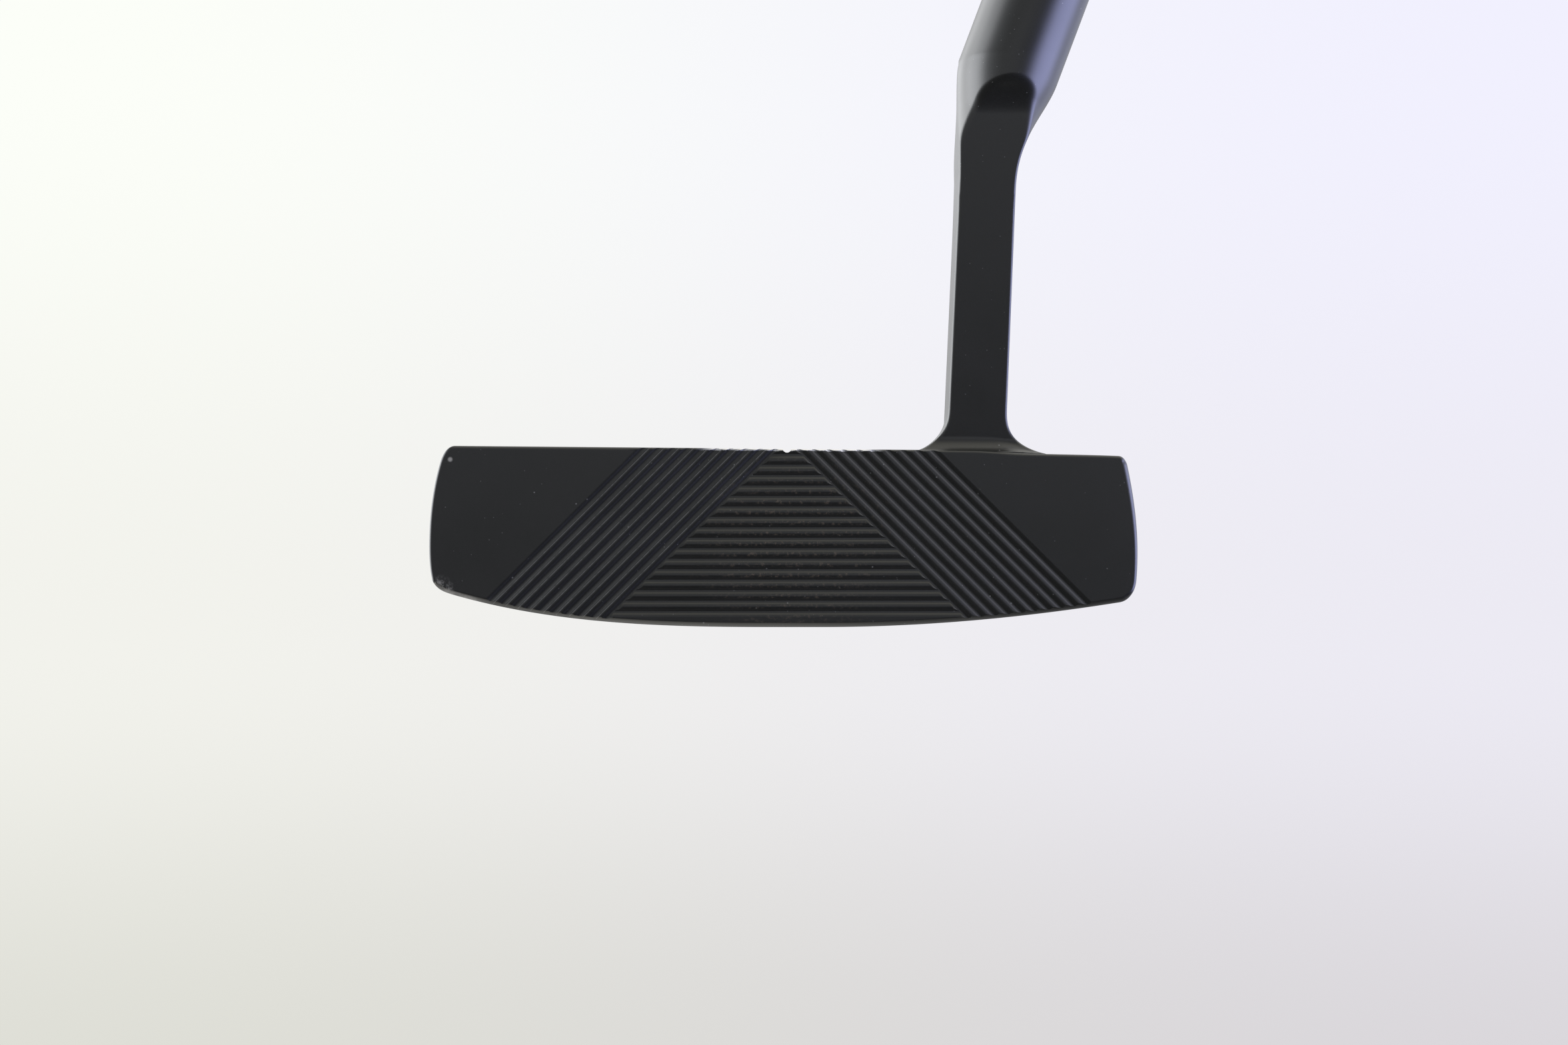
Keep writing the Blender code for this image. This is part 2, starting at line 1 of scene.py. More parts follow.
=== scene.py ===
"""The blade putter's looks: a finely milled head, a stepped chrome shaft and a moulded pistol grip.

Frame: the origin lies on the flat land under the sole, in the plane of the shaft axis. +X runs from toe to
heel, +Y from the face to the rear flange, +Z up. Lengths are in metres.
"""

import math

import bmesh
import bpy
from mathutils import Matrix, Vector, geometry


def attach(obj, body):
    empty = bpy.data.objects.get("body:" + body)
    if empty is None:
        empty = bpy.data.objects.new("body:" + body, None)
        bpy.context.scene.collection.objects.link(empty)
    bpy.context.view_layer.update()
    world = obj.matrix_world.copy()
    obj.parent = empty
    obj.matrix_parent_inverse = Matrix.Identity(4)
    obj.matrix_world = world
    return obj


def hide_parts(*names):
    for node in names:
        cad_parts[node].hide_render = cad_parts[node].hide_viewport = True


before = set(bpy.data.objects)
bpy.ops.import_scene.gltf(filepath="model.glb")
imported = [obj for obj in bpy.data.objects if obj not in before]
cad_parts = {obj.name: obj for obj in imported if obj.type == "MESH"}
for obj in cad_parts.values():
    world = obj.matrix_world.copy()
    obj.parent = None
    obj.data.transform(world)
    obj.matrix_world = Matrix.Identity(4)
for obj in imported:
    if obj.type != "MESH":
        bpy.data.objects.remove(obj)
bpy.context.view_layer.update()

MM = 0.001

# Head
LOFT = math.radians(3.0)
FACE_Y = -9.7 * MM
BLADE_DEPTH = 25.0 * MM
TOPLINE_Z = 26.9 * MM
TOPLINE_DEPTH = 8.5 * MM
FLANGE_Z = 7.0 * MM
BUMPER_Z = 17.0 * MM
BUMPER_STEP_Z = 12.5 * MM
BUMPER_STEP_Y = 7.0 * MM
CAVITY_HALF_LENGTH = 23.5 * MM
CAVITY_WALL = 5.6 * MM
TOP_EDGE = 0.48 * MM
SOLE_EDGE = 0.8 * MM
TOE_EDGE = 0.45 * MM
HEEL_EDGE_FOOT = 0.6 * MM
HEEL_EDGE_TOP = 0.9 * MM
HEEL_EDGE_FOOT_Z = 7.0 * MM
HEEL_EDGE_TOP_Z = 25.0 * MM
ROUND_POWER = 2.0  # of the section of an edge
BEVEL_POWER = 1.22
EDGE_RINGS = 8
BUMPER_FILLET = 2.0 * MM
BUMPER_STEP_FILLET = 1.5 * MM
CAVITY_FILLET = 2.5 * MM
FILLET_SEGMENTS = 10

# Face grooves
GROOVE_PITCH = 1.5875 * MM
GROOVE_SLOPE = math.radians(32.0)  # the steepest part of a groove's wall
GROOVE_HOLLOW = 0.30 * MM  # half the width of its hollow bottom, between two rounded shoulders
GROOVE_LIP_SLOPE = math.radians(6.0)  # where a shoulder starts, at the land
GROOVE_STEPS = 8
GROOVE_APEX_Z = 28.85 * MM
SLANTED_GROOVES = 10
SLANTED_GROOVE_TOP_Z = TOPLINE_Z + 0.9 * MM
SLANTED_GROOVE_FOOT_Z = -1.0 * MM
LEVEL_GROOVES = 16
TOP_LEVEL_GROOVE_Z = 26.17 * MM
LEVEL_GROOVE_SHARE = 0.93
LEVEL_GROOVE_SHORT = 0.17 * MM
SIGHT_NOTCH_WIDTH = 1.35 * MM
SIGHT_NOTCH_DEPTH = 0.35 * MM
SIGHT_LINE_WIDTH = 2.2 * MM
SIGHT_LINE_DEPTH = 0.8 * MM
SIGHT_LINE_START_Y = 1.0 * MM
SIGHT_LINE_END_Y = 13.0 * MM

# Neck and hosel
LEAN = math.radians(20.7)
AXIS_X = 1.95 * MM
HOSEL_RADIUS = 7.85 * MM
HOSEL_RIM = 119.7 * MM
HOSEL_RIM_EDGE = 0.7 * MM
HOSEL_BORE_RADIUS = 5.6 * MM
HOSEL_BORE_DEPTH = 25.0 * MM
HOSEL_BORE_CHAMFER = 0.5 * MM
NECK_FRONT_Y = -5.9 * MM
NECK_BACK_Y = 4.1 * MM
NECK_LEFT = (24.9 * MM, 34.9 * MM, 0.045)  # x at a height, that height, and how fast x grows with height
NECK_RIGHT = (33.85 * MM, 34.7 * MM, 0.04)
NECK_LEFT_LIMIT_X = 26.45 * MM
NECK_LEFT_BLEND = 0.5 * MM
NECK_FRONT_FILLET = 8.0 * MM
NECK_BASE_FILLET = 2.7 * MM
NECK_BASE_DROP = 0.35 * MM  # how far below the topline that fillet would end
NECK_BASE_Y = -7.5 * MM
NECK_FRONT_TOP_Z = 78.6 * MM
NECK_BOTTOM_Z = 9.0 * MM
NECK_EDGE = 0.7 * MM
NECK_CORNER = 0.14  # share of the half width that its corners round off; 1 is fully round
CORNER_START_Z = 71.5 * MM
CORNER_END_Z = 81.0 * MM
NECK_POINTS = 288
SWELL_START_Z = 66.0 * MM
BACK_SWELL_START_Z = 58.0 * MM
SWELL_END_Z = 84.0 * MM
FLARE_LEFT = (5.2 * MM, 6.9 * MM, 2.8)  # reach, rise and power of the fillet at the foot of the neck
FLARE_RIGHT = (6.7 * MM, 8.0 * MM, 3.6)
FLARE_LEFT_Z = 26.85 * MM
FLARE_RIGHT_Z = 26.35 * MM
FLARE_CURL = 0.2  # share of the reach that is left to the last curl down to the topline
FLARE_CURL_POWER = 12
FLARE_FOOT = 0.06 * MM
FLARE_FADE = (-0.3 * MM, 1.6 * MM)  # behind the rear of the topline
TOPLINE_DIP_X = (28.0 * MM, 37.0 * MM)
TILT_START_Z = 88.0 * MM
TILT_END_Z = 100.0 * MM
NECK_RINGS = (  # from, to and spacing of the heights at which it is drawn
    (25.91 * MM, 29.7 * MM, 0.09 * MM),
    (29.7 * MM, 34.0 * MM, 0.25 * MM),
    (34.0 * MM, 66.0 * MM, 2.0 * MM),
    (66.0 * MM, 78.0 * MM, 0.6 * MM),
    (78.0 * MM, 85.0 * MM, 0.16 * MM),
    (85.0 * MM, TILT_START_Z, 0.6 * MM),
)

# Shaft and grip, measured along the shaft axis
CLUB_LENGTH = 889.0 * MM
SHAFT_TIP = 96.0 * MM
SHAFT_TIP_RADIUS = 4.7 * MM
SHAFT_BUTT_RADIUS = 7.37 * MM
SHAFT_WALL = 0.6 * MM
SHAFT_STEPS = 10
FIRST_STEP = 260.0 * MM
STEP_SPACING = 31.0 * MM
STEP_LENGTH = 2.0 * MM
STEP_POINTS = 6
BAND_START = 574.0 * MM
BAND_LENGTH = 38.0 * MM
BAND_WALL = 0.15 * MM
BAND_EDGE = 0.06 * MM
BAND_RINGS = ((15.5 * MM, 0.9 * MM), (12.6 * MM, 0.35 * MM))  # from the middle, and half width
BAND_RING_BLUR = 0.05 * MM
GAP = 0.3 * MM
GRIP_LENGTH = 267.0 * MM
CAP_THICKNESS = 2.4 * MM
CAP_CLEARANCE = 0.15 * MM  # keeps the fine cap inside the plain one
TAPE_WALL = 0.2 * MM
GRIP_LOWER_RADIUS = 11.4 * MM
GRIP_UPPER_RADIUS = 13.4 * MM
GRIP_FLAT = 9.8 * MM
GRIP_FLAT_EDGE = 0.35 * MM
GRIP_BULGE = 4.1 * MM
GRIP_END_ROUND = 1.6 * MM
GRIP_TEXTURE = 0.42 * MM
GRIP_BAR_PITCH = 4.8 * MM
GRIP_BARS_END = (math.radians(36.0), math.radians(40.0))  # turn from the middle of the flat front
GRIP_RIB_TURN = math.radians(45.0)
GRIP_RIB_RADIUS = 12.0 * MM
GRIP_RIB_SLOPE = (0.25 * MM, 0.6 * MM)
GRIP_KNURL_START = (math.radians(48.0), math.radians(53.0))
GRIP_KNURL_PITCH = 3.2 * MM
GRIP_KNURL_CELLS = 24.0
GRIP_SIDES = 144
GRIP_ROWS = 540
CAP_EDGE = 0.8 * MM
CAP_GROOVES = (0.22, 0.30, 0.66)  # share of the way from the cap's edge to its vent
CAP_GROOVE_SLOPE = (0.012, 0.028)
CAP_GROOVE_DEPTH = 0.35 * MM
CAP_VENT_DIP = 0.25 * MM
CAP_ROWS = 72
VENT_RADIUS = 1.3 * MM

# Marks of use on the head: a centre, and the distances from it at which a mark is full and gone
HIT_ZONE = ((1.0 * MM, -9.0 * MM, 12.0 * MM), 6.0 * MM, 19.0 * MM)
TOE_FOOT_RUB = ((-52.9 * MM, -9.3 * MM, 5.3 * MM), 0.7 * MM, 2.9 * MM)
TOE_BEVEL_RUB = ((-50.0 * MM, -9.3 * MM, 4.9 * MM), 1.5 * MM, 6.0 * MM)
TOE_NICK = ((-51.3 * MM, -8.3 * MM, 25.5 * MM), 0.15 * MM, 0.5 * MM)
# Thin pale lines along one side of the slanted grooves
PALE_LINE_OFFSET = 0.60 * MM  # from the middle of a slanted groove
# A painted highlight of bright steel along the topline's front edge, where the light from above catches it
HIGHLIGHT_EDGE_Z = 27.158 * MM  # of the topline's front edge at x = 0
HIGHLIGHT_EDGE_FALL = 0.00873  # of that edge with x
HIGHLIGHT_EDGE_REACH = (0.24 * MM, 0.40 * MM)
HIGHLIGHT_EDGE_BLUR = 0.04 * MM
HIGHLIGHT_EDGE_SPAN = (-14.0 * MM, -10.5 * MM, 11.5 * MM, 15.0 * MM)

# Studio. Directions are a turn in degrees from the front, + towards the heel, and a height from -1 to 1
BLACK = (0.0, 0.0, 0.0)
DIM = (0.05, 0.05, 0.05)
PANELS = (  # turns and heights at which a panel of light starts, is full, ends and is gone; its colour
    ((34.0, 66.0, 86.0, 116.0), (-0.45, -0.25, 0.20, 0.50), (3.05, 3.25, 5.5)),
    ((80.0, 110.0, 130.0, 160.0), (-0.60, -0.30, 0.45, 0.80), (0.5, 0.55, 0.9)),
    ((30.0, 60.0, 110.0, 130.0), (0.30, 0.60, 0.80, 1.10), (0.65, 0.65, 0.74)),
    ((-170.0, -140.0, -118.0, -90.0), (-0.45, -0.10, 0.60, 0.80), (2.5, 2.55, 2.6)),
    ((-100.0, -75.0, -60.0, -12.0), (-0.10, 0.12, 0.50, 0.62), (0.60, 0.63, 0.68)),
    ((-118.0, -98.0, -82.0, -52.0), (-0.45, -0.10, 0.50, 0.66), (4.1, 4.2, 4.35)),
)
FLOOR_Z = -300.0 * MM
FLOOR_RADIUS = 1000.0 * MM
CAMERA_X = -0.46 * MM
CAMERA_DISTANCE = 340.0 * MM
CAMERA_Z = 15.9 * MM
CAMERA_LENS = 50.0

PATH_DETAIL = 6  # how many times finer the outlines are than the CAD part's
ROUND_SIDES = 96
ROUNDING_STEPS = 8
CUT_MARGIN = 20.0 * MM


def lerp(a, b, t):
    return a + (b - a) * t


def smoothstep(start, end, value):
    t = min(max((value - start) / (end - start), 0.0), 1.0)
    return t * t * (3.0 - 2.0 * t)


def smooth_max(a, b, width):
    return 0.5 * (a + b + math.sqrt((a - b) ** 2 + width**2))


def rounded_min(a, b, width):
    """The smaller of a and b, eased where they differ by less than width."""
    share = max(width - abs(a - b), 0.0) / width
    return min(a, b) - share * share * width / 4.0


def heading_vector(degrees):
    return Vector((math.cos(math.radians(degrees)), math.sin(math.radians(degrees))))


def smooth_path(knots):
    """Points of a path of near-circular arcs.

    A knot is (u, v, heading in degrees, segments to the next), in millimetres.
    """
    points = []
    for (u0, v0, heading0, segments), (u1, v1, heading1, _) in zip(knots, knots[1:]):
        start = Vector((u0, v0))
        end = Vector((u1, v1))
        turn = math.radians((heading1 - heading0 + 180.0) % 360.0 - 180.0)
        handle = (end - start).length / (3.0 * math.cos(turn / 4.0) ** 2)
        leave = heading_vector(heading0) * handle
        arrive = heading_vector(heading1) * handle
        count = segments * PATH_DETAIL + 1
        arc = geometry.interpolate_bezier(start, start + leave, end - arrive, end, count)
        points.extend(arc[:-1])
    return [(p[0] * MM, p[1] * MM) for p in points]


def face_outline():
    """The blade's outline from the front, (x, z), clockwise from the toe end of the topline."""
    knots = [
        (-50.6, 27.6, -0.5, 3),
        (28.0, 26.92, -0.5, 2),
        (36.0, 26.45, -2.0, 2),
        (50.5, 26.06, -2.5, 3),
        (51.95, 24.6, -78.5, 4),
        (53.35, 12.0, -90.0, 1),
        (53.15, 7.2, -95.0, 4),
        (50.6, 3.75, -171.0, 9),
        (5.5, 0.0, -180.0, 1),
        (-2.5, 0.0, -180.0, 9),
        (-50.0, 4.68, -195.5, 2),
        (-52.5, 5.54, -207.0, 3),
        (-54.0, 7.4, -258.0, 2),
        (-54.45, 12.7, -270.0, 4),
        (-52.9, 25.0, -285.8, 4),
        (-50.6, 27.6, -360.5, 0),
    ]
    return smooth_path(knots)


def plan_outline():
    """The head's outline from above, (x, y), anticlockwise; it is open past the face."""
    knots = [
        (54.4, -25.0, 90.0, 1),
        (54.4, -1.0, 90.0, 6),
        (42.0, 13.0, 173.0, 5),
        (0.0, 15.3, 180.0, 5),
        (-42.0, 13.0, 187.0, 6),
        (-55.6, -1.0, 270.0, 1),
        (-55.6, -25.0, 270.0, 0),
    ]
    return smooth_path(knots) + [(-55.6 * MM, -25.0 * MM)]


def new_object(name, bm, merge=0.0005 * MM):
    if merge > 0.0:
        bmesh.ops.remove_doubles(bm, verts=bm.verts, dist=merge)
    bmesh.ops.recalc_face_normals(bm, faces=bm.faces)
    mesh = bpy.data.meshes.new(name)
    bm.to_mesh(mesh)
    bm.free()
    obj = bpy.data.objects.new(name, mesh)
    bpy.context.scene.collection.objects.link(obj)
    return obj


def prism(bm, ring, offset):
    """A straight-sided block between a ring and its copy at an offset."""
    face = bm.faces.new([bm.verts.new(corner) for corner in ring])
    drawn = bmesh.ops.extrude_face_region(bm, geom=[face], use_keep_orig=True)
    moved = [item for item in drawn["geom"] if isinstance(item, bmesh.types.BMVert)]
    bmesh.ops.translate(bm, verts=moved, vec=offset)


def skin(bm, rings, closed=False, caps=True):
    """A skin over rings of equal length. closed joins the last ring to the first, for a walled tube."""
    rows = [[bm.verts.new(point) for point in ring] for ring in rings]
    count = len(rows[0])
    pairs = list(zip(rows, rows[1:]))
    if closed:
        pairs.append((rows[-1], rows[0]))
    for low, high in pairs:
        for i in range(count):
            j = (i + 1) % count
            bm.faces.new((low[i], low[j], high[j], high[i]))
    if caps and not closed:
        bm.faces.new(rows[0][::-1])
        bm.faces.new(rows[-1])


def lean_back(bm):
    """Shears what is drawn on an upright face, so that the face has its loft."""
    shear = Matrix.Identity(4)
    shear[1][2] = math.tan(LOFT)
    bmesh.ops.transform(bm, matrix=shear, verts=bm.verts)


def evaluated(obj):
    """Replaces obj's mesh with the result of its modifiers."""
    depsgraph = bpy.context.evaluated_depsgraph_get()
    mesh = bpy.data.meshes.new_from_object(obj.evaluated_get(depsgraph))
    obj.modifiers.clear()
    obj.data = mesh
    return obj


def boolean(obj, others, operation):
    """One exact Boolean with one piece, or with several, which may cross each other. They are used up."""
    modifier = obj.modifiers.new("boolean", "BOOLEAN")
    modifier.operation = operation
    modifier.solver = "EXACT"
    group = None
    if len(others) == 1:
        modifier.object = others[0]
    else:
        group = bpy.data.collections.new("operands")
        bpy.context.scene.collection.children.link(group)
        for other in others:
            bpy.context.scene.collection.objects.unlink(other)
            group.objects.link(other)
        modifier.operand_type = "COLLECTION"
        modifier.collection = group
    evaluated(obj)
    for other in others:
        bpy.data.objects.remove(other, do_unlink=True)
    if group:
        bpy.data.collections.remove(group)


def outward(points, i):
    """Outward direction of a clockwise outline at point i."""
    before = Vector(points[i - 1])
    after = Vector(points[(i + 1) % len(points)])
    along = (after - before).normalized()
    return Vector((-along.y, along.x))


def edge_shape(place, normal):
    """(size, power) of the rounding between the face and the blade's edge. Power 2 is round, 1 a bevel."""
    up = smoothstep(0.5, 0.95, normal.y)
    down = smoothstep(0.35, 0.8, -normal.y)
    rise = smoothstep(HEEL_EDGE_FOOT_Z, HEEL_EDGE_TOP_Z, place.y)
    heel = lerp(HEEL_EDGE_FOOT, HEEL_EDGE_TOP, rise)
    side = heel if place.x > 0.0 else TOE_EDGE
    size = up * TOP_EDGE + down * SOLE_EDGE + (1.0 - up - down) * side
    return size, lerp(ROUND_POWER, BEVEL_POWER, down)


def make_blade():
    outline = face_outline()
    rings = [[] for _ in range(EDGE_RINGS + 1)]
    for i, point in enumerate(outline):
        place = Vector(point)
        normal = outward(outline, i)
        size, power = edge_shape(place, normal)
        for k, ring in enumerate(rings):
            angle = math.pi / 2.0 * k / EDGE_RINGS
            inset = size * (1.0 - math.sin(angle) ** (2.0 / power))
            depth = size * (1.0 - math.cos(angle) ** (2.0 / power))
            moved = place - normal * inset
            ring.append((moved.x, FACE_Y + depth, moved.y))
    rings.append([(x, FACE_Y + BLADE_DEPTH + CUT_MARGIN, z) for x, z in outline])
    bm = bmesh.new()
    skin(bm, rings)
    lean_back(bm)
    return new_object("head_fine", bm)


def make_plan_block():
    bm = bmesh.new()
    ring = [(x, y, -CUT_MARGIN) for x, y in plan_outline()]
    prism(bm, ring, Vector((0.0, 0.0, 4.0 * CUT_MARGIN)))
    return new_object("plan_block", bm)


def make_rear_cut(half_length, front_y, floor_z, fillet):
    """A block that clears the rear of the blade above floor_z, with its corners rounded."""
    bm = bmesh.new()
    low = Vector((-half_length, front_y, floor_z))
    high = Vector((half_length, BLADE_DEPTH + CUT_MARGIN, 4.0 * CUT_MARGIN))
    matrix = Matrix.Translation((low + high) / 2.0) @ Matrix.Diagonal((*(high - low), 1.0))
    bmesh.ops.create_cube(bm, size=1.0, matrix=matrix)
    edges = [edge for edge in bm.edges if min(v.co.z for v in edge.verts) < floor_z + GAP]
    bmesh.ops.bevel(
        bm,
        geom=edges,
        offset=fillet,
        offset_type="OFFSET",
        segments=FILLET_SEGMENTS,
        profile=0.5,
        affect="EDGES",
    )
    lean_back(bm)
    return new_object("rear_cut", bm)


def groove_profile(share):
    """Groove section, (across, into the face), at a share of the full depth."""
    shoulder = (GROOVE_PITCH / 2.0 - GROOVE_HOLLOW) / math.sin(GROOVE_SLOPE)
    hollow = GROOVE_HOLLOW / math.sin(GROOVE_SLOPE)
    depth = (shoulder + hollow) * (1.0 - math.cos(GROOVE_SLOPE))
    lip_run = shoulder * (1.0 - math.cos(GROOVE_LIP_SLOPE)) / math.tan(GROOVE_LIP_SLOPE)
    half = []
    for i in range(GROOVE_STEPS):
        angle = lerp(GROOVE_LIP_SLOPE, GROOVE_SLOPE, i / GROOVE_STEPS)
        across = GROOVE_PITCH / 2.0 - shoulder * math.sin(angle)
        half.append((across, shoulder * (1.0 - math.cos(angle)) * share))
    half.insert(0, (half[0][0] + lip_run, 0.0))
    half.insert(0, (half[0][0] + 0.002 * MM, -MM))
    for i in range(GROOVE_STEPS):
        angle = GROOVE_SLOPE * (1.0 - i / GROOVE_STEPS)
        half.append((hollow * math.sin(angle), (depth - hollow * (1.0 - math.cos(angle))) * share))
    left = [(-across, into) for across, into in half]
    return left + [(0.0, depth * share)] + half[::-1]


def add_groove(bm, start, end, share, end_slope):
    """A groove cutter between two (x, z) points. end_slope shears each end by its share of the width."""
    along = (Vector(end) - Vector(start)).normalized()
    across = Vector((-along.y, along.x))
    rings = []
    for point, slope in ((Vector(start), end_slope), (Vector(end), -end_slope)):
        ring = []
        for offset, into in groove_profile(share):
            place = point + across * offset + along * (offset * slope)
            ring.append((place.x, FACE_Y + into, place.y))
        rings.append(ring)
    skin(bm, rings)


def make_slanted_grooves():
    bm = bmesh.new()
    for side in (-1.0, 1.0):
        for i in range(SLANTED_GROOVES):
            reach = GROOVE_APEX_Z + i * GROOVE_PITCH * math.sqrt(2.0)
            start = (side * (reach - SLANTED_GROOVE_FOOT_Z), SLANTED_GROOVE_FOOT_Z)
            end = (side * (reach - SLANTED_GROOVE_TOP_Z), SLANTED_GROOVE_TOP_Z)
            add_groove(bm, start, end, 1.0, 0.0)
    lean_back(bm)
    return new_object("slanted_grooves", bm)


def make_level_grooves():
    bm = bmesh.new()
    for i in range(LEVEL_GROOVES):
        z = TOP_LEVEL_GROOVE_Z - i * GROOVE_PITCH
        half_length = GROOVE_APEX_Z - LEVEL_GROOVE_SHORT - z
        add_groove(bm, (-half_length, z), (half_length, z), LEVEL_GROOVE_SHARE, 1.0)
    lean_back(bm)
    return new_object("level_grooves", bm)


def make_sight_notch():
    radius = SIGHT_NOTCH_WIDTH / 2.0
    floor = TOPLINE_Z - SIGHT_NOTCH_DEPTH
    top = TOPLINE_Z + 2.0 * MM
    ring = [(radius, FACE_Y - MM, top), (-radius, FACE_Y - MM, top)]
    steps = 24
    for i in range(steps + 1):
        angle = math.pi * (1.0 + i / steps)
        ring.append((radius * math.cos(angle), FACE_Y - MM, floor + radius * (1.0 + math.sin(angle))))
    bm = bmesh.new()
    prism(bm, ring, Vector((0.0, BLADE_DEPTH, 0.0)))
    return new_object("sight_notch", bm)


def make_sight_line():
    half = SIGHT_LINE_WIDTH / 2.0
    floor = FLANGE_Z - SIGHT_LINE_DEPTH
    steps = 16
    ring = []
    for end_y, turn in ((SIGHT_LINE_END_Y - half, 0.0), (SIGHT_LINE_START_Y + half, math.pi)):
        for i in range(steps + 1):
            angle = turn + math.pi * i / steps
            ring.append((half * math.cos(angle), end_y + half * math.sin(angle), floor))
    bm = bmesh.new()
    prism(bm, ring, Vector((0.0, 0.0, 4.0 * MM)))
    return new_object("sight_line", bm)


def axis_x(z):
    return AXIS_X + z * math.tan(LEAN)


def neck_side(side, z):
    """Where a plain side of the neck stands at height z. side is (x, its height, growth with height)."""
    x, height, growth = side
    return x + growth * (z - height)


def neck_section(z):
    """(left, right, front, back, corner share) of the neck at height z."""
    half_round = HOSEL_RADIUS / math.cos(LEAN)
    plain_left = min(neck_side(NECK_LEFT, z), NECK_LEFT_LIMIT_X)
    left = smooth_max(plain_left, axis_x(z) - half_round, NECK_LEFT_BLEND)
    swell = smoothstep(SWELL_START_Z, SWELL_END_Z, z)
    right = lerp(neck_side(NECK_RIGHT, z), axis_x(z) + half_round, swell)
    back = lerp(NECK_BACK_Y, HOSEL_RADIUS, smoothstep(BACK_SWELL_START_Z, SWELL_END_Z, z))
    corner = lerp(NECK_CORNER, 1.0, smoothstep(CORNER_START_Z, CORNER_END_Z, z))
    if z >= TILT_START_Z:
        left = axis_x(z) - half_round
    return left, right, -HOSEL_RADIUS, back, corner


def flare(height, size):
    """How far a fillet of size (reach, rise, power) stands out at a height above its foot."""
    reach, rise, power = size
    share = 1.0 - min(max(height, FLARE_FOOT), rise) / rise
    curl = 1.0 - math.sqrt(1.0 - share**FLARE_CURL_POWER)
    return reach * lerp(share**power, curl, FLARE_CURL)


def cut_front(x, z):
    """Where the cutter that flattened the front of the neck stood at (x, z)."""
    topline = lerp(FLARE_LEFT_Z, FLARE_RIGHT_Z, smoothstep(*TOPLINE_DIP_X, x))
    foot = topline - NECK_BASE_DROP
    if z < foot + NECK_BASE_FILLET:
        rise = max(z - foot, 0.0)
        along = math.sqrt(NECK_BASE_FILLET**2 - (NECK_BASE_FILLET - rise) ** 2)
        return max(NECK_FRONT_Y - NECK_BASE_FILLET + along, NECK_BASE_Y)
    rise = min(max(z - NECK_FRONT_TOP_Z, 0.0), NECK_FRONT_FILLET)
    return NECK_FRONT_Y - NECK_FRONT_FILLET + math.sqrt(NECK_FRONT_FILLET**2 - rise**2)


def section_radius(angle, half_x, half_y, corner):
    """Distance from the middle of a rectangle with elliptical corners to its edge."""
    c = max(abs(math.cos(angle)), 1e-9)
    s = max(abs(math.sin(angle)), 1e-9)
    a = half_x * corner
    b = half_y * corner
    to_side = half_x / c
    if s * to_side <= half_y - b:
        return to_side
    to_end = half_y / s
    if c * to_end <= half_x - a:
        return to_end
    middle_x = half_x - a
    middle_y = half_y - b
    square = (c / a) ** 2 + (s / b) ** 2
    linear = middle_x * c / a**2 + middle_y * s / b**2
    constant = (middle_x / a) ** 2 + (middle_y / b) ** 2 - 1.0
    return (linear + math.sqrt(max(linear**2 - square * constant, 0.0))) / square


def neck_ring(z):
    """Points round the neck at height z.

    Above TILT_START_Z they slide along the shaft axis, until the ring is square to it.
    """
    left, right, front, back, corner = neck_section(z)
    half_x = (right - left) / 2.0
    half_y = (back - front) / 2.0
    middle_x = (left + right) / 2.0
    middle_y = (front + back) / 2.0
    tilt = min(max((z - TILT_START_Z) / (TILT_END_Z - TILT_START_Z), 0.0), 1.0)
    topline_rear = FACE_Y + z * math.tan(LOFT) + TOPLINE_DEPTH
    fade_start, fade_end = (topline_rear + distance for distance in FLARE_FADE)
    ring = []
    for i in range(NECK_POINTS):
        angle = 2.0 * math.pi * (i + 0.5) / NECK_POINTS
        reach = section_radius(angle, half_x, half_y, corner)
        if math.sin(angle) < 0.0:
            cut_y = cut_front(middle_x + reach * math.cos(angle), z)
            to_cut = (cut_y - middle_y) / math.sin(angle)
            reach = rounded_min(reach, to_cut, NECK_EDGE)
        x = middle_x + reach * math.cos(angle)
        y = middle_y + reach * math.sin(angle)
        in_front = 1.0 - smoothstep(fade_start, fade_end, y)
        if x < middle_x:
            x -= flare(z - FLARE_LEFT_Z, FLARE_LEFT) * in_front * min((middle_x - x) / MM, 1.0)
        else:
            x += flare(z - FLARE_RIGHT_Z, FLARE_RIGHT) * in_front * min((x - middle_x) / MM, 1.0)
        slide = -(x - axis_x(z)) * math.sin(LEAN) * tilt
        ring.append((x + slide * math.sin(LEAN), y, z + slide * math.cos(LEAN)))
    return ring


def spread(low, high, spacing):
    """Evenly spaced heights from low up to, but not including, high."""
    count = max(round((high - low) / spacing), 1)
    return [lerp(low, high, i / count) for i in range(count)]


def neck_heights():
    rim_z = (HOSEL_RIM - HOSEL_RIM_EDGE) * math.cos(LEAN)
    heights = [NECK_BOTTOM_Z, 20.0 * MM]
    for low, high, spacing in NECK_RINGS:
        heights += spread(low, high, spacing)
    return heights + [TILT_START_Z, 92.0 * MM, 96.0 * MM, TILT_END_Z, rim_z]


def along_axis(height):
    return Vector((AXIS_X + height * math.sin(LEAN), 0.0, height * math.cos(LEAN)))


def make_neck():
    rings = [neck_ring(z) for z in neck_heights()]
    last = [Vector(point) for point in rings[-1]]
    centre = along_axis(HOSEL_RIM - HOSEL_RIM_EDGE)
    up = along_axis(1.0) - along_axis(0.0)
    steps = 6
    for k in range(1, steps + 1):
        angle = math.pi / 2.0 * k / steps
        shrink = 1.0 - HOSEL_RIM_EDGE * (1.0 - math.cos(angle)) / HOSEL_RADIUS
        lift = up * (HOSEL_RIM_EDGE * math.sin(angle))
        rings.append([centre + (point - centre) * shrink + lift for point in last])
    bm = bmesh.new()
    skin(bm, rings)
    return new_object("neck", bm)


def axis_matrix():
    return Matrix.Translation((AXIS_X, 0.0, 0.0)) @ Matrix.Rotation(LEAN, 4, "Y")


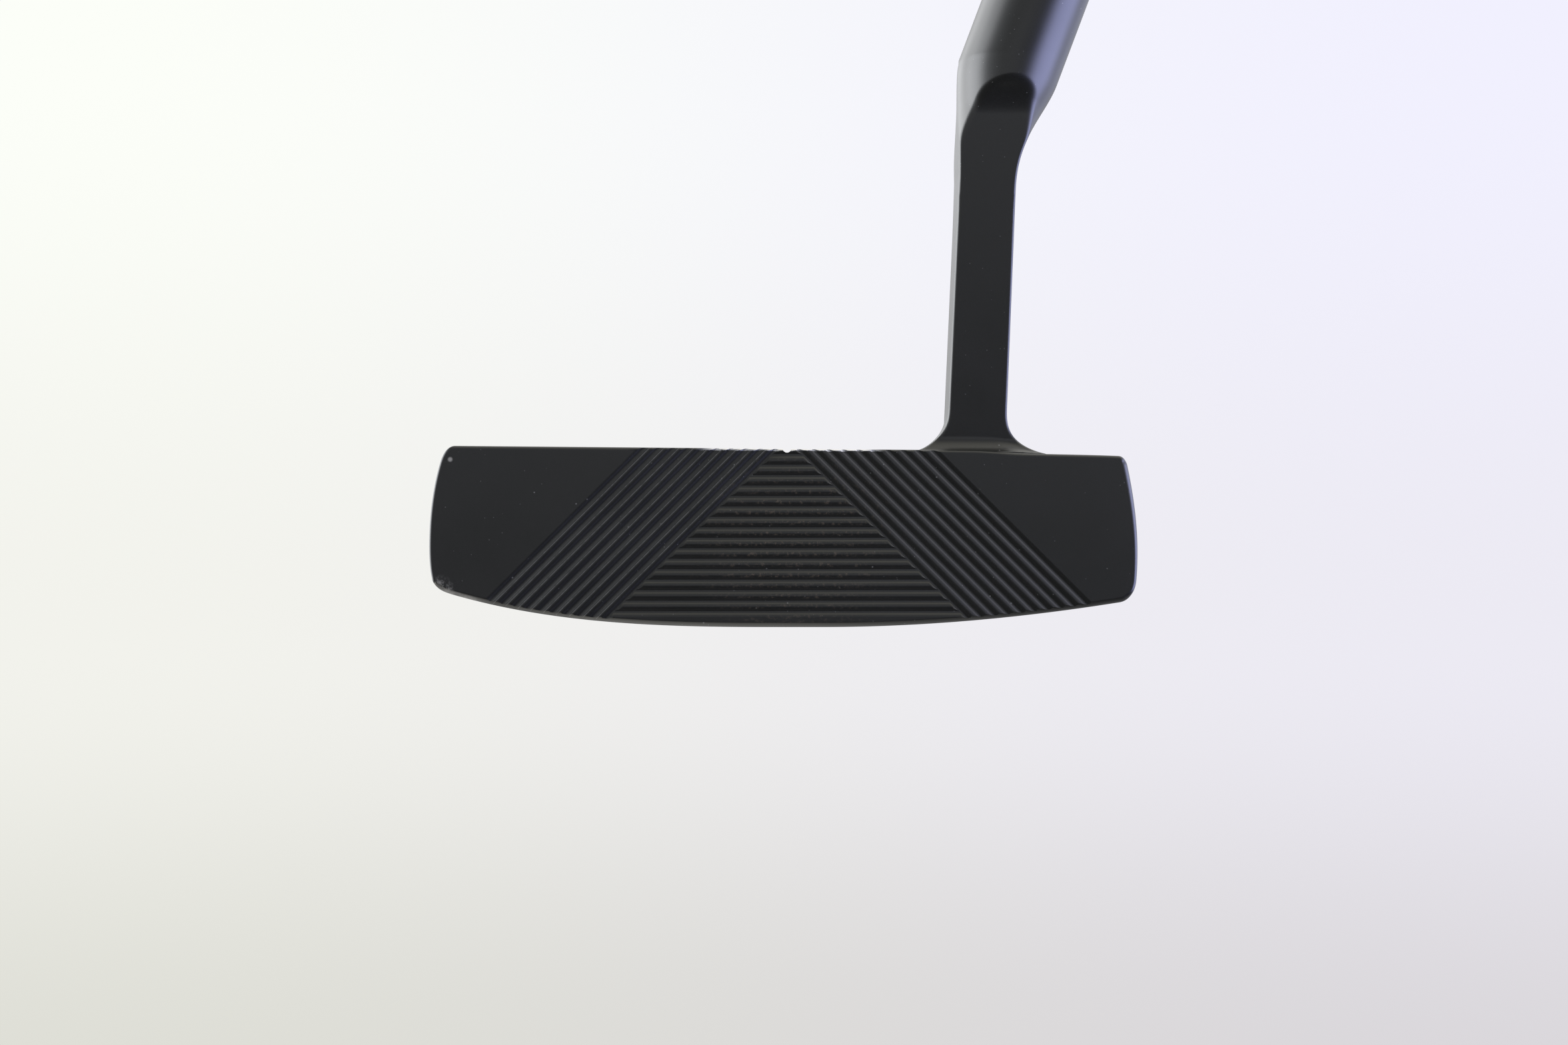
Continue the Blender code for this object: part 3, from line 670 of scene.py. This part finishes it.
def circle(radius, height, sides=ROUND_SIDES):
    ring = []
    for i in range(sides):
        angle = 2.0 * math.pi * i / sides
        ring.append(Vector((radius * math.cos(angle), radius * math.sin(angle), height)))
    return ring


def make_hosel_bore():
    wide = HOSEL_BORE_RADIUS + 1.1 * HOSEL_BORE_CHAMFER
    profile = [
        (HOSEL_BORE_RADIUS, HOSEL_RIM - HOSEL_BORE_DEPTH),
        (HOSEL_BORE_RADIUS, HOSEL_RIM - HOSEL_BORE_CHAMFER),
        (wide, HOSEL_RIM + 0.1 * HOSEL_BORE_CHAMFER),
        (wide, HOSEL_RIM + CUT_MARGIN),
    ]
    bm = bmesh.new()
    skin(bm, [circle(radius, height) for radius, height in profile])
    bm.transform(axis_matrix())
    return new_object("hosel_bore", bm)


def smooth_shading(obj, sharp_degrees):
    obj.data.shade_smooth()
    obj.data.set_sharp_from_angle(angle=math.radians(sharp_degrees))
    weighted = obj.modifiers.new("weighted", "WEIGHTED_NORMAL")
    weighted.keep_sharp = True
    weighted.mode = "FACE_AREA_WITH_ANGLE"


def make_head(material):
    head = make_blade()
    boolean(head, [make_plan_block()], "INTERSECT")
    wide = 4.0 * CUT_MARGIN
    rear_cuts = [
        make_rear_cut(wide, FACE_Y + TOPLINE_DEPTH, BUMPER_Z, BUMPER_FILLET),
        make_rear_cut(wide * 1.01, BUMPER_STEP_Y, BUMPER_STEP_Z, BUMPER_STEP_FILLET),
        make_rear_cut(CAVITY_HALF_LENGTH, FACE_Y + CAVITY_WALL, FLANGE_Z, CAVITY_FILLET),
    ]
    boolean(head, rear_cuts, "DIFFERENCE")
    boolean(head, [make_neck()], "UNION")
    details = [
        make_slanted_grooves(),
        make_level_grooves(),
        make_sight_notch(),
        make_sight_line(),
        make_hosel_bore(),
    ]
    boolean(head, details, "DIFFERENCE")
    smooth_shading(head, 32.0)
    dress(head, material, "head")
    return head


def dress(obj, material, replaced):
    """Gives a fine piece its material and its place in the frame, and retires the plain one."""
    obj.data.materials.clear()
    obj.data.materials.append(material)
    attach(obj, "root")
    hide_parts(replaced)


def turned(name, profile, sides=ROUND_SIDES):
    """A turned tube round the shaft axis. The closed profile, (radius, height), runs round its wall."""
    bm = bmesh.new()
    skin(bm, [circle(radius, height, sides) for radius, height in profile], closed=True)
    bm.transform(axis_matrix())
    return new_object(name, bm)


def shaft_top():
    return CLUB_LENGTH - CAP_THICKNESS - 2.0 * GAP


def shaft_outline(inset):
    """The stepped wall from tip to butt, (radius, height), with each step eased."""
    outline = [(SHAFT_TIP_RADIUS - inset, SHAFT_TIP)]
    for step in range(SHAFT_STEPS):
        height = FIRST_STEP + step * STEP_SPACING
        low = lerp(SHAFT_TIP_RADIUS, SHAFT_BUTT_RADIUS, step / SHAFT_STEPS)
        high = lerp(SHAFT_TIP_RADIUS, SHAFT_BUTT_RADIUS, (step + 1) / SHAFT_STEPS)
        for i in range(STEP_POINTS + 1):
            share = i / STEP_POINTS
            radius = lerp(low, high, smoothstep(0.0, 1.0, share))
            outline.append((radius - inset, height + STEP_LENGTH * share))
    outline.append((SHAFT_BUTT_RADIUS - inset, shaft_top()))
    return outline


def make_shaft(material):
    shaft = turned("shaft_fine", shaft_outline(0.0) + shaft_outline(SHAFT_WALL)[::-1])
    smooth_shading(shaft, 40.0)
    dress(shaft, material, "shaft")


def make_band(material):
    """A thin printed film round the shaft, with its two ends turned down."""
    inner = SHAFT_BUTT_RADIUS + GAP
    outer = inner + BAND_WALL
    top = BAND_START + BAND_LENGTH
    profile = [
        (inner, BAND_START),
        (outer - BAND_EDGE, BAND_START),
        (outer, BAND_START + BAND_EDGE),
        (outer, top - BAND_EDGE),
        (outer - BAND_EDGE, top),
        (inner, top),
    ]
    band = turned("shaft_band_fine", profile)
    smooth_shading(band, 60.0)
    dress(band, material, "shaft_band")


def grip_radius(share, angle):
    """Distance from the axis to the plain skin of the grip. share runs from 0 at its lower end to 1."""
    radius = lerp(GRIP_LOWER_RADIUS, GRIP_UPPER_RADIUS, smoothstep(0.0, 1.0, share))
    bulge = GRIP_BULGE * smoothstep(0.35, 0.8, share) * (1.0 - 0.45 * smoothstep(0.85, 1.0, share))
    x = radius * math.cos(angle)
    y = radius * math.sin(angle)
    if x > 0.0:
        x += bulge * (x / radius) ** 2
    if x < 0.0:
        x = smooth_max(x, -GRIP_FLAT, GRIP_FLAT_EDGE)
    return Vector((x, y))


def grip_dip(share, angle, height):
    """How far the moulded texture dips below the plain skin: bars in front, knurling behind two lines."""
    ends = smoothstep(0.03, 0.045, share) * (1.0 - smoothstep(0.965, 0.98, share))
    front_turn = abs(math.remainder(angle - math.pi, 2.0 * math.pi))
    behind = smoothstep(*GRIP_KNURL_START, front_turn)
    rib = abs(front_turn - GRIP_RIB_TURN) * GRIP_RIB_RADIUS
    line = 1.0 - smoothstep(*GRIP_RIB_SLOPE, rib)
    turn_cells = GRIP_KNURL_CELLS * angle
    height_cells = 2.0 * math.pi * height / GRIP_KNURL_PITCH
    weave = math.cos(turn_cells + height_cells / 2.0) * math.cos(turn_cells - height_cells / 2.0)
    knurl = smoothstep(-0.1, 0.5, 0.35 - abs(weave))
    front = 1.0 - smoothstep(*GRIP_BARS_END, front_turn)
    bars = smoothstep(0.55, 0.85, math.cos(2.0 * math.pi * height / GRIP_BAR_PITCH))
    return ends * GRIP_TEXTURE * max(behind * knurl, front * bars, line)


def grip_rows():
    """(share of the length, height, inset) of each ring of the grip, from its rounded lower end up."""
    bottom = CLUB_LENGTH - GRIP_LENGTH
    top = shaft_top()
    rows = []
    for i in range(ROUNDING_STEPS):
        angle = math.pi / 2.0 * i / ROUNDING_STEPS
        inset = GRIP_END_ROUND * (1.0 - math.sin(angle))
        rows.append((0.0, bottom + GRIP_END_ROUND * (1.0 - math.cos(angle)), inset))
    for i in range(GRIP_ROWS + 1):
        share = i / GRIP_ROWS
        rows.append((share, lerp(bottom + GRIP_END_ROUND, top, share), 0.0))
    return rows


def make_grip(material):
    rings = []
    for share, height, inset in grip_rows():
        ring = []
        for i in range(GRIP_SIDES):
            angle = 2.0 * math.pi * i / GRIP_SIDES
            place = grip_radius(share, angle)
            place -= place.normalized() * (inset + grip_dip(share, angle, height))
            ring.append((place.x, place.y, height))
        rings.append(ring)
    bore = SHAFT_BUTT_RADIUS + GAP + TAPE_WALL + GAP
    rings.append(circle(bore, shaft_top(), GRIP_SIDES))
    rings.append(circle(bore, CLUB_LENGTH - GRIP_LENGTH, GRIP_SIDES))
    bm = bmesh.new()
    skin(bm, rings, closed=True)
    bm.transform(axis_matrix())
    grip = new_object("grip_fine", bm)
    smooth_shading(grip, 60.0)
    dress(grip, material, "grip")


def cap_ring(inward, height):
    """A ring of the cap. inward runs from 0 on the grip's outline to 1 on the vent."""
    ring = []
    for i in range(GRIP_SIDES):
        angle = 2.0 * math.pi * i / GRIP_SIDES
        outer = grip_radius(1.0, angle)
        vent = Vector((math.cos(angle), math.sin(angle))) * VENT_RADIUS
        place = outer.lerp(vent, inward)
        ring.append((place.x, place.y, height))
    return ring


def make_grip_cap(material):
    low = CLUB_LENGTH - CAP_THICKNESS
    high = CLUB_LENGTH - CAP_CLEARANCE
    rings = [cap_ring(0.0, low)]
    for i in range(ROUNDING_STEPS + 1):
        angle = math.pi / 2.0 * i / ROUNDING_STEPS
        inward = CAP_EDGE * (1.0 - math.cos(angle)) / (GRIP_UPPER_RADIUS - VENT_RADIUS)
        rings.append(cap_ring(inward, high - CAP_EDGE + CAP_EDGE * math.sin(angle)))
    for i in range(1, CAP_ROWS + 1):
        inward = lerp(0.07, 1.0, i / CAP_ROWS)
        dip = CAP_VENT_DIP * smoothstep(0.93, 1.0, inward)
        for groove in CAP_GROOVES:
            dip += CAP_GROOVE_DEPTH * (1.0 - smoothstep(*CAP_GROOVE_SLOPE, abs(inward - groove)))
        rings.append(cap_ring(inward, high - dip))
    rings.append(cap_ring(1.0, low))
    bm = bmesh.new()
    skin(bm, rings, closed=True)
    bm.transform(axis_matrix())
    cap = new_object("grip_cap_fine", bm)
    smooth_shading(cap, 50.0)
    dress(cap, material, "grip_cap")


# Materials


def new_material(name, colour, roughness, metallic=0.0, ior=1.5):
    material = bpy.data.materials.new(name)
    material.use_nodes = True
    tree = material.node_tree
    shader = tree.nodes["Principled BSDF"]
    shader.inputs["Base Color"].default_value = (*colour, 1.0)
    shader.inputs["Roughness"].default_value = roughness
    shader.inputs["Metallic"].default_value = metallic
    shader.inputs["IOR"].default_value = ior
    return material, tree, shader


def add_node(tree, kind, inputs, output=0, **settings):
    """Adds a node, joins or sets its inputs, and returns one of its outputs."""
    made = tree.nodes.new("ShaderNode" + kind)
    for key, value in settings.items():
        setattr(made, key, value)
    for key, value in inputs.items():
        if isinstance(value, bpy.types.NodeSocket):
            tree.links.new(value, made.inputs[key])
        else:
            made.inputs[key].default_value = value
    return made.outputs[output]


def place_of(tree):
    return add_node(tree, "TexCoord", {}, "Object")


def noise(tree, vector, scale, detail=2.0, rough=0.5):
    inputs = {"Vector": vector, "Scale": scale, "Detail": detail, "Roughness": rough}
    return add_node(tree, "TexNoise", inputs)


def remap(tree, value, low, high, to_low=0.0, to_high=1.0):
    inputs = {"Value": value, "From Min": low, "From Max": high, "To Min": to_low, "To Max": to_high}
    return add_node(tree, "MapRange", inputs, interpolation_type="SMOOTHSTEP")


def calculate(tree, operation, a, b=0.0):
    return add_node(tree, "Math", {0: a, 1: b}, operation=operation)


def times(tree, *factors):
    product = factors[0]
    for factor in factors[1:]:
        product = calculate(tree, "MULTIPLY", product, factor)
    return product


def minus(tree, a, b):
    return calculate(tree, "SUBTRACT", a, b)


def mix(tree, share, a, b):
    """Colour a, with a share of colour b."""
    made = tree.nodes.new("ShaderNodeMix")
    made.data_type = "RGBA"
    for value, socket in ((share, made.inputs[0]), (a, made.inputs[6]), (b, made.inputs[7])):
        if isinstance(value, bpy.types.NodeSocket):
            tree.links.new(value, socket)
        else:
            socket.default_value = (*value, 1.0)
    return made.outputs[2]


def bump(tree, height, distance, strength=1.0):
    return add_node(tree, "Bump", {"Height": height, "Distance": distance, "Strength": strength})


def parts_of(tree, vector):
    made = tree.nodes.new("ShaderNodeSeparateXYZ")
    tree.links.new(vector, made.inputs[0])
    return made.outputs[0], made.outputs[1], made.outputs[2]


def specks(tree, vector, scale, size, share):
    """A mask of small round specks in a share of the cells of a random lattice."""
    made = tree.nodes.new("ShaderNodeTexVoronoi")
    made.inputs["Scale"].default_value = scale
    tree.links.new(vector, made.inputs["Vector"])
    near = remap(tree, made.outputs["Distance"], size, size * 0.4)
    chosen = calculate(tree, "LESS_THAN", parts_of(tree, made.outputs["Color"])[0], share)
    return times(tree, near, chosen)


def band(tree, value, start, full, end, gone):
    """A mask that rises from start to full and falls from end to gone."""
    return times(tree, remap(tree, value, start, full), remap(tree, value, end, gone, 1.0, 0.0))


def near_point(tree, vector, centre, inner, outer):
    distance = add_node(tree, "VectorMath", {0: vector, 1: centre}, "Value", operation="DISTANCE")
    return remap(tree, distance, outer, inner)


def ball_scuffs(tree, vector, from_face):
    """Scuffs that balls have left on the lands between the grooves."""
    on_land = remap(tree, from_face, FACE_Y + 0.09 * MM, FACE_Y + 0.02 * MM)
    mottle = remap(tree, noise(tree, vector, 1900.0, 4.0, 0.7), 0.5, 0.66)
    return times(tree, on_land, near_point(tree, vector, *HIT_ZONE), mottle, 0.65)


def pale_dust(tree, vector):
    fine = specks(tree, vector, 1500.0, 0.14, 0.10)
    coarse = specks(tree, vector, 620.0, 0.10, 0.16)
    return times(tree, calculate(tree, "MAXIMUM", fine, coarse), 0.45)


def worn_corners(tree, vector, from_face):
    """Rubbed places at the foot of the toe, on the bevel beside it and at the toe end of the topline."""
    rub = remap(tree, noise(tree, vector, 1100.0, 5.0, 0.7), 0.46, 0.64)
    corner = times(tree, near_point(tree, vector, *TOE_FOOT_RUB), rub)
    on_bevel = remap(tree, from_face, FACE_Y + 0.03 * MM, FACE_Y + 0.30 * MM)
    faint = remap(tree, noise(tree, vector, 700.0, 4.0, 0.6), 0.3, 0.7, 0.3, 0.8)
    bevel = times(tree, near_point(tree, vector, *TOE_BEVEL_RUB), on_bevel, faint)
    worn = calculate(tree, "MAXIMUM", corner, bevel)
    return calculate(tree, "MAXIMUM", worn, near_point(tree, vector, *TOE_NICK))


def pale_groove_lines(tree, vector, from_face):
    """Thin pale lines along one side of the slanted grooves towards the toe."""
    x, _, z = parts_of(tree, vector)
    slant = minus(tree, z, x)
    step = GROOVE_PITCH * math.sqrt(2.0)
    first = GROOVE_APEX_Z - PALE_LINE_OFFSET * math.sqrt(2.0)
    phase = calculate(tree, "DIVIDE", minus(tree, slant, first), step)
    phase = minus(tree, calculate(tree, "FRACT", calculate(tree, "ADD", phase, 0.5)), 0.5)
    line = remap(tree, calculate(tree, "ABSOLUTE", phase), 0.045, 0.02)
    ends = [first + steps * step for steps in (0.5, 0.6, 9.4, 9.6)]
    on_blade = calculate(tree, "LESS_THAN", z, TOPLINE_Z + 0.5 * MM)
    in_front = calculate(tree, "LESS_THAN", from_face, FACE_Y + 0.5 * MM)
    broken = remap(tree, noise(tree, vector, 1500.0, 3.0, 0.6), 0.3, 0.6, 0.25, 1.0)
    return times(tree, line, band(tree, slant, *ends), on_blade, in_front, broken)


def painted_highlight_edge(tree, vector, from_face):
    """A painted highlight: bright bare steel along the middle of the topline's front edge."""
    x, _, z = parts_of(tree, vector)
    edge_z = minus(tree, HIGHLIGHT_EDGE_Z, times(tree, x, HIGHLIGHT_EDGE_FALL))
    reach = remap(tree, noise(tree, vector, 900.0, 3.0), 0.35, 0.65, *HIGHLIGHT_EDGE_REACH)
    inside = minus(tree, reach, minus(tree, edge_z, z))
    near_edge = remap(tree, inside, -HIGHLIGHT_EDGE_BLUR, HIGHLIGHT_EDGE_BLUR)
    in_front = remap(tree, from_face, FACE_Y + 0.75 * MM, FACE_Y + 0.50 * MM)
    return times(tree, near_edge, band(tree, x, *HIGHLIGHT_EDGE_SPAN), in_front)


def head_finish():
    """Black oxide over fine bead blasting, scuffed, dusty and worn at the corners, with thin pale lines by
    the slanted grooves and a painted highlight of bright steel on the topline's edge.
    """
    material, tree, shader = new_material("black_satin_steel", (0.005, 0.005, 0.005), 0.32, 0.0, 1.75)
    vector = place_of(tree)
    _, y, z = parts_of(tree, vector)
    # FACE_Y on the face, and more behind it
    from_face = minus(tree, y, times(tree, z, math.tan(LOFT)))
    cloud = noise(tree, vector, 90.0, 3.0)
    grain = noise(tree, vector, 5200.0, 2.0)
    base = mix(tree, cloud, (0.0042, 0.0050, 0.0040), (0.0062, 0.0064, 0.0053))
    base = mix(tree, remap(tree, grain, 0.45, 0.8, 0.0, 0.5), base, (0.012, 0.0115, 0.011))
    base = mix(tree, ball_scuffs(tree, vector, from_face), base, (0.085, 0.066, 0.045))
    base = mix(tree, pale_dust(tree, vector), base, (0.26, 0.26, 0.245))
    base = mix(tree, worn_corners(tree, vector, from_face), base, (0.27, 0.26, 0.23))
    # thin pale lines along one side of the slanted grooves
    base = mix(tree, pale_groove_lines(tree, vector, from_face), base, (0.085, 0.083, 0.08))
    # painted highlight: bright steel along the topline's front edge
    painted_highlight = painted_highlight_edge(tree, vector, from_face)
    base = mix(tree, painted_highlight, base, (0.80, 0.80, 0.82))
    tree.links.new(base, shader.inputs["Base Color"])
    tree.links.new(painted_highlight, shader.inputs["Metallic"])
    tree.links.new(remap(tree, cloud, 0.3, 0.7, 0.30, 0.34), shader.inputs["Roughness"])
    tree.links.new(bump(tree, grain, 0.004 * MM, 0.6), shader.inputs["Normal"])
    return material


def chrome_finish():
    """Bright plating with the faint lines of polishing and a little haze."""
    material, tree, shader = new_material("chrome_steel", (0.66, 0.67, 0.68), 0.1, 1.0)
    vector = place_of(tree)
    stretched = add_node(tree, "Mapping", {"Vector": vector, "Scale": (1.0, 1.0, 12.0)})
    lines = noise(tree, stretched, 260.0, 5.0, 0.65)
    haze = noise(tree, vector, 30.0, 3.0)
    base = mix(tree, haze, (0.60, 0.61, 0.62), (0.72, 0.72, 0.73))
    spots = specks(tree, vector, 240.0, 0.07, 0.12)
    base = mix(tree, times(tree, spots, 0.5), base, (0.3, 0.29, 0.27))
    tree.links.new(base, shader.inputs["Base Color"])
    hazy = remap(tree, haze, 0.3, 0.7, 0.07, 0.16)
    rough = calculate(tree, "ADD", hazy, times(tree, lines, 0.05))
    tree.links.new(rough, shader.inputs["Roughness"])
    tree.links.new(bump(tree, lines, 0.004 * MM, 0.35), shader.inputs["Normal"])
    return material


def rubber_finish(name, pore_scale):
    """Matt moulded rubber: fine pores, a greyer bloom where hands rub, and lint."""
    material, tree, shader = new_material(name, (0.02, 0.02, 0.021), 0.7)
    vector = place_of(tree)
    bloom = noise(tree, vector, 26.0, 4.0, 0.6)
    pores = noise(tree, vector, pore_scale, 3.0, 0.6)
    base = mix(tree, bloom, (0.013, 0.013, 0.014), (0.034, 0.034, 0.035))
    lint = specks(tree, vector, 330.0, 0.06, 0.1)
    base = mix(tree, times(tree, lint, 0.5), base, (0.2, 0.2, 0.2))
    tree.links.new(base, shader.inputs["Base Color"])
    tree.links.new(remap(tree, bloom, 0.25, 0.75, 0.58, 0.82), shader.inputs["Roughness"])
    tree.links.new(bump(tree, pores, 0.05 * MM, 0.5), shader.inputs["Normal"])
    return material


def paint_finish():
    """White paint run into the sight line, with a skin of small waves and some grey grime."""
    material, tree, shader = new_material("white_paint", (0.8, 0.8, 0.78), 0.35)
    vector = place_of(tree)
    grime = remap(tree, noise(tree, vector, 700.0, 5.0, 0.7), 0.5, 0.75)
    base = mix(tree, grime, (0.80, 0.80, 0.775), (0.55, 0.54, 0.50))
    tree.links.new(base, shader.inputs["Base Color"])
    waves = noise(tree, vector, 1400.0, 2.0)
    tree.links.new(remap(tree, waves, 0.3, 0.7, 0.28, 0.45), shader.inputs["Roughness"])
    tree.links.new(bump(tree, waves, 0.03 * MM, 0.5), shader.inputs["Normal"])
    return material


def epoxy_finish():
    """Cured adhesive with slow streaks of paler and darker amber."""
    material, tree, shader = new_material("cured_epoxy", (0.42, 0.36, 0.2), 0.35)
    vector = place_of(tree)
    flow = noise(tree, vector, 420.0, 4.0, 0.6)
    base = mix(tree, flow, (0.30, 0.24, 0.11), (0.52, 0.46, 0.28))
    tree.links.new(base, shader.inputs["Base Color"])
    tree.links.new(remap(tree, flow, 0.3, 0.7, 0.2, 0.45), shader.inputs["Roughness"])
    tree.links.new(bump(tree, flow, 0.08 * MM, 0.6), shader.inputs["Normal"])
    return material


def tape_finish():
    """Paper tape with its fibres along the shaft, and darker patches painted as the shade of creases."""
    material, tree, shader = new_material("grip_tape_paper", (0.6, 0.55, 0.42), 0.8)
    vector = place_of(tree)
    fibres = add_node(tree, "Mapping", {"Vector": vector, "Scale": (6.0, 6.0, 1.0)})
    strands = noise(tree, fibres, 320.0, 5.0, 0.7)
    crease_shade = remap(tree, noise(tree, vector, 210.0, 3.0), 0.52, 0.6)
    base = mix(tree, strands, (0.50, 0.44, 0.31), (0.68, 0.62, 0.48))
    # painted shade: darker patches where creases would be
    base = mix(tree, times(tree, crease_shade, 0.35), base, (0.36, 0.30, 0.2))
    tree.links.new(base, shader.inputs["Base Color"])
    tree.links.new(remap(tree, strands, 0.3, 0.7, 0.7, 0.9), shader.inputs["Roughness"])
    tree.links.new(bump(tree, strands, 0.05 * MM, 0.6), shader.inputs["Normal"])
    return material


def band_finish():
    """Glossy dark film with plain silver rings near its two ends."""
    material, tree, shader = new_material("band_film", (0.03, 0.03, 0.035), 0.22)
    vector = place_of(tree)
    up = along_axis(1.0) - along_axis(0.0)
    along = add_node(tree, "VectorMath", {0: vector, 1: tuple(up)}, "Value", operation="DOT_PRODUCT")
    middle = along_axis(BAND_START + BAND_LENGTH / 2.0).dot(up)
    from_middle = calculate(tree, "ABSOLUTE", minus(tree, along, middle))
    rings = 0.0
    for place, half_width in BAND_RINGS:
        offset = calculate(tree, "ABSOLUTE", minus(tree, from_middle, place))
        ring = remap(tree, offset, half_width + BAND_RING_BLUR, half_width - BAND_RING_BLUR)
        rings = calculate(tree, "MAXIMUM", rings, ring)
    wear = noise(tree, vector, 300.0, 4.0, 0.7)
    film = mix(tree, wear, (0.018, 0.019, 0.022), (0.040, 0.041, 0.046))
    tree.links.new(mix(tree, rings, film, (0.55, 0.56, 0.58)), shader.inputs["Base Color"])
    tree.links.new(times(tree, rings, 0.9), shader.inputs["Metallic"])
    tree.links.new(remap(tree, wear, 0.3, 0.7, 0.16, 0.3), shader.inputs["Roughness"])
    tree.links.new(bump(tree, wear, 0.01 * MM, 0.3), shader.inputs["Normal"])
    return material


# Scene


def linear(*srgb):
    """Linear colour from sRGB values of 0 to 255."""
    return tuple(((v / 255.0 + 0.055) / 1.055) ** 2.4 for v in srgb)


def panel(tree, turn, height, turns, heights, colour):
    """A soft panel of light. turns and heights are where it starts, is full, ends and is gone."""
    share = times(tree, band(tree, turn, *turns), band(tree, height, *heights))
    return mix(tree, share, BLACK, colour)


def sum_colours(tree, colours):
    total = colours[0]
    for colour in colours[1:]:
        total = add_node(tree, "VectorMath", {0: total, 1: colour}, "Vector", operation="ADD")
    return total


def make_world():
    """Soft light all round: paper behind, a dim front, light from above and below, and side panels.

    The camera sees a pale backdrop in its place, which is warmer to the left and darker below.
    """
    world = bpy.data.worlds.new("studio")
    bpy.context.scene.world = world
    world.use_nodes = True
    tree = world.node_tree
    tree.nodes.clear()
    direction = add_node(tree, "TexCoord", {}, "Generated")
    x, y, z = parts_of(tree, direction)
    front = times(tree, y, -1.0)
    turn = calculate(tree, "DEGREES", calculate(tree, "ARCTAN2", x, front))

    paper_behind = mix(tree, remap(tree, y, -0.15, 0.45), (0.07, 0.07, 0.07), (0.62, 0.62, 0.63))
    rising = times(tree, remap(tree, z, 0.06, 0.25), remap(tree, x, -0.55, -0.15))
    above_front = mix(tree, rising, BLACK, (0.18, 0.185, 0.195))
    low_front = mix(tree, band(tree, z, 0.10, 0.22, 0.24, 0.36), BLACK, (0.46, 0.47, 0.50))
    overhead = mix(tree, remap(tree, x, -0.50, 0.0), DIM, (0.60, 0.575, 0.47))
    overhead = mix(tree, remap(tree, z, 0.50, 0.90), BLACK, overhead)
    below = mix(tree, remap(tree, x, 0.16, -0.02), DIM, (1.15, 1.12, 1.02))
    below = mix(tree, remap(tree, z, -0.84, -0.98), BLACK, below)
    lights = [paper_behind, above_front, low_front, overhead, below]
    for turns, heights, colour in PANELS:
        lights.append(panel(tree, turn, z, turns, heights, colour))
    studio = add_node(tree, "Background", {"Color": sum_colours(tree, lights), "Strength": 1.0})

    across = remap(tree, x, -0.33, 0.33)
    top = mix(tree, across, linear(252, 254, 248), linear(241, 240, 254))
    middle = mix(tree, across, linear(242, 242, 236), linear(236, 234, 243))
    bottom = mix(tree, across, linear(222, 222, 214), linear(218, 215, 219))
    upper = mix(tree, remap(tree, z, -0.06, 0.20), middle, top)
    paper = mix(tree, remap(tree, z, -0.24, -0.05), bottom, upper)
    backdrop = add_node(tree, "Background", {"Color": paper, "Strength": 1.0})

    seen = add_node(tree, "LightPath", {}, "Is Camera Ray")
    blend = tree.nodes.new("ShaderNodeMixShader")
    tree.links.new(seen, blend.inputs[0])
    tree.links.new(studio, blend.inputs[1])
    tree.links.new(backdrop, blend.inputs[2])
    output = tree.nodes.new("ShaderNodeOutputWorld")
    tree.links.new(blend.outputs[0], output.inputs["Surface"])


def make_floor():
    """A pale round floor well below the club, which fades out before its rim."""
    bm = bmesh.new()
    bmesh.ops.create_circle(bm, cap_ends=True, segments=64, radius=FLOOR_RADIUS)
    floor = new_object("studio_floor", bm)
    floor.location.z = FLOOR_Z
    material, tree, shader = new_material("pale_floor", (0.74, 0.74, 0.73), 0.85)
    vector = place_of(tree)
    mottle = noise(tree, vector, 14.0, 4.0)
    base = mix(tree, mottle, (0.73, 0.73, 0.72), (0.76, 0.76, 0.75))
    tree.links.new(base, shader.inputs["Base Color"])
    away = add_node(tree, "VectorMath", {0: vector}, "Value", operation="LENGTH")
    faded = remap(tree, away, FLOOR_RADIUS, 0.5 * FLOOR_RADIUS)
    tree.links.new(faded, shader.inputs["Alpha"])
    floor.data.materials.append(material)
    floor.visible_glossy = False


def make_camera():
    camera = bpy.data.objects.new("camera", bpy.data.cameras.new("camera"))
    bpy.context.scene.collection.objects.link(camera)
    camera.data.lens = CAMERA_LENS
    camera.data.sensor_width = 36.0
    camera.data.clip_start = 0.01
    camera.location = (CAMERA_X, -CAMERA_DISTANCE, CAMERA_Z)
    camera.rotation_euler = (math.pi / 2.0, 0.0, 0.0)
    bpy.context.scene.camera = camera


def finish_cad_node(name, material):
    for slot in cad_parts[name].material_slots:
        slot.material = material


def main():
    bpy.context.scene.view_settings.view_transform = "Standard"
    make_head(head_finish())
    make_shaft(chrome_finish())
    make_band(band_finish())
    make_grip(rubber_finish("grip_rubber", 2600.0))
    make_grip_cap(rubber_finish("cap_rubber", 2200.0))
    finish_cad_node("flange_sight_paint", paint_finish())
    finish_cad_node("shaft_tip_plug", rubber_finish("plug_rubber", 1500.0))
    finish_cad_node("hosel_epoxy", epoxy_finish())
    finish_cad_node("grip_tape", tape_finish())
    make_world()
    make_floor()
    make_camera()


main()
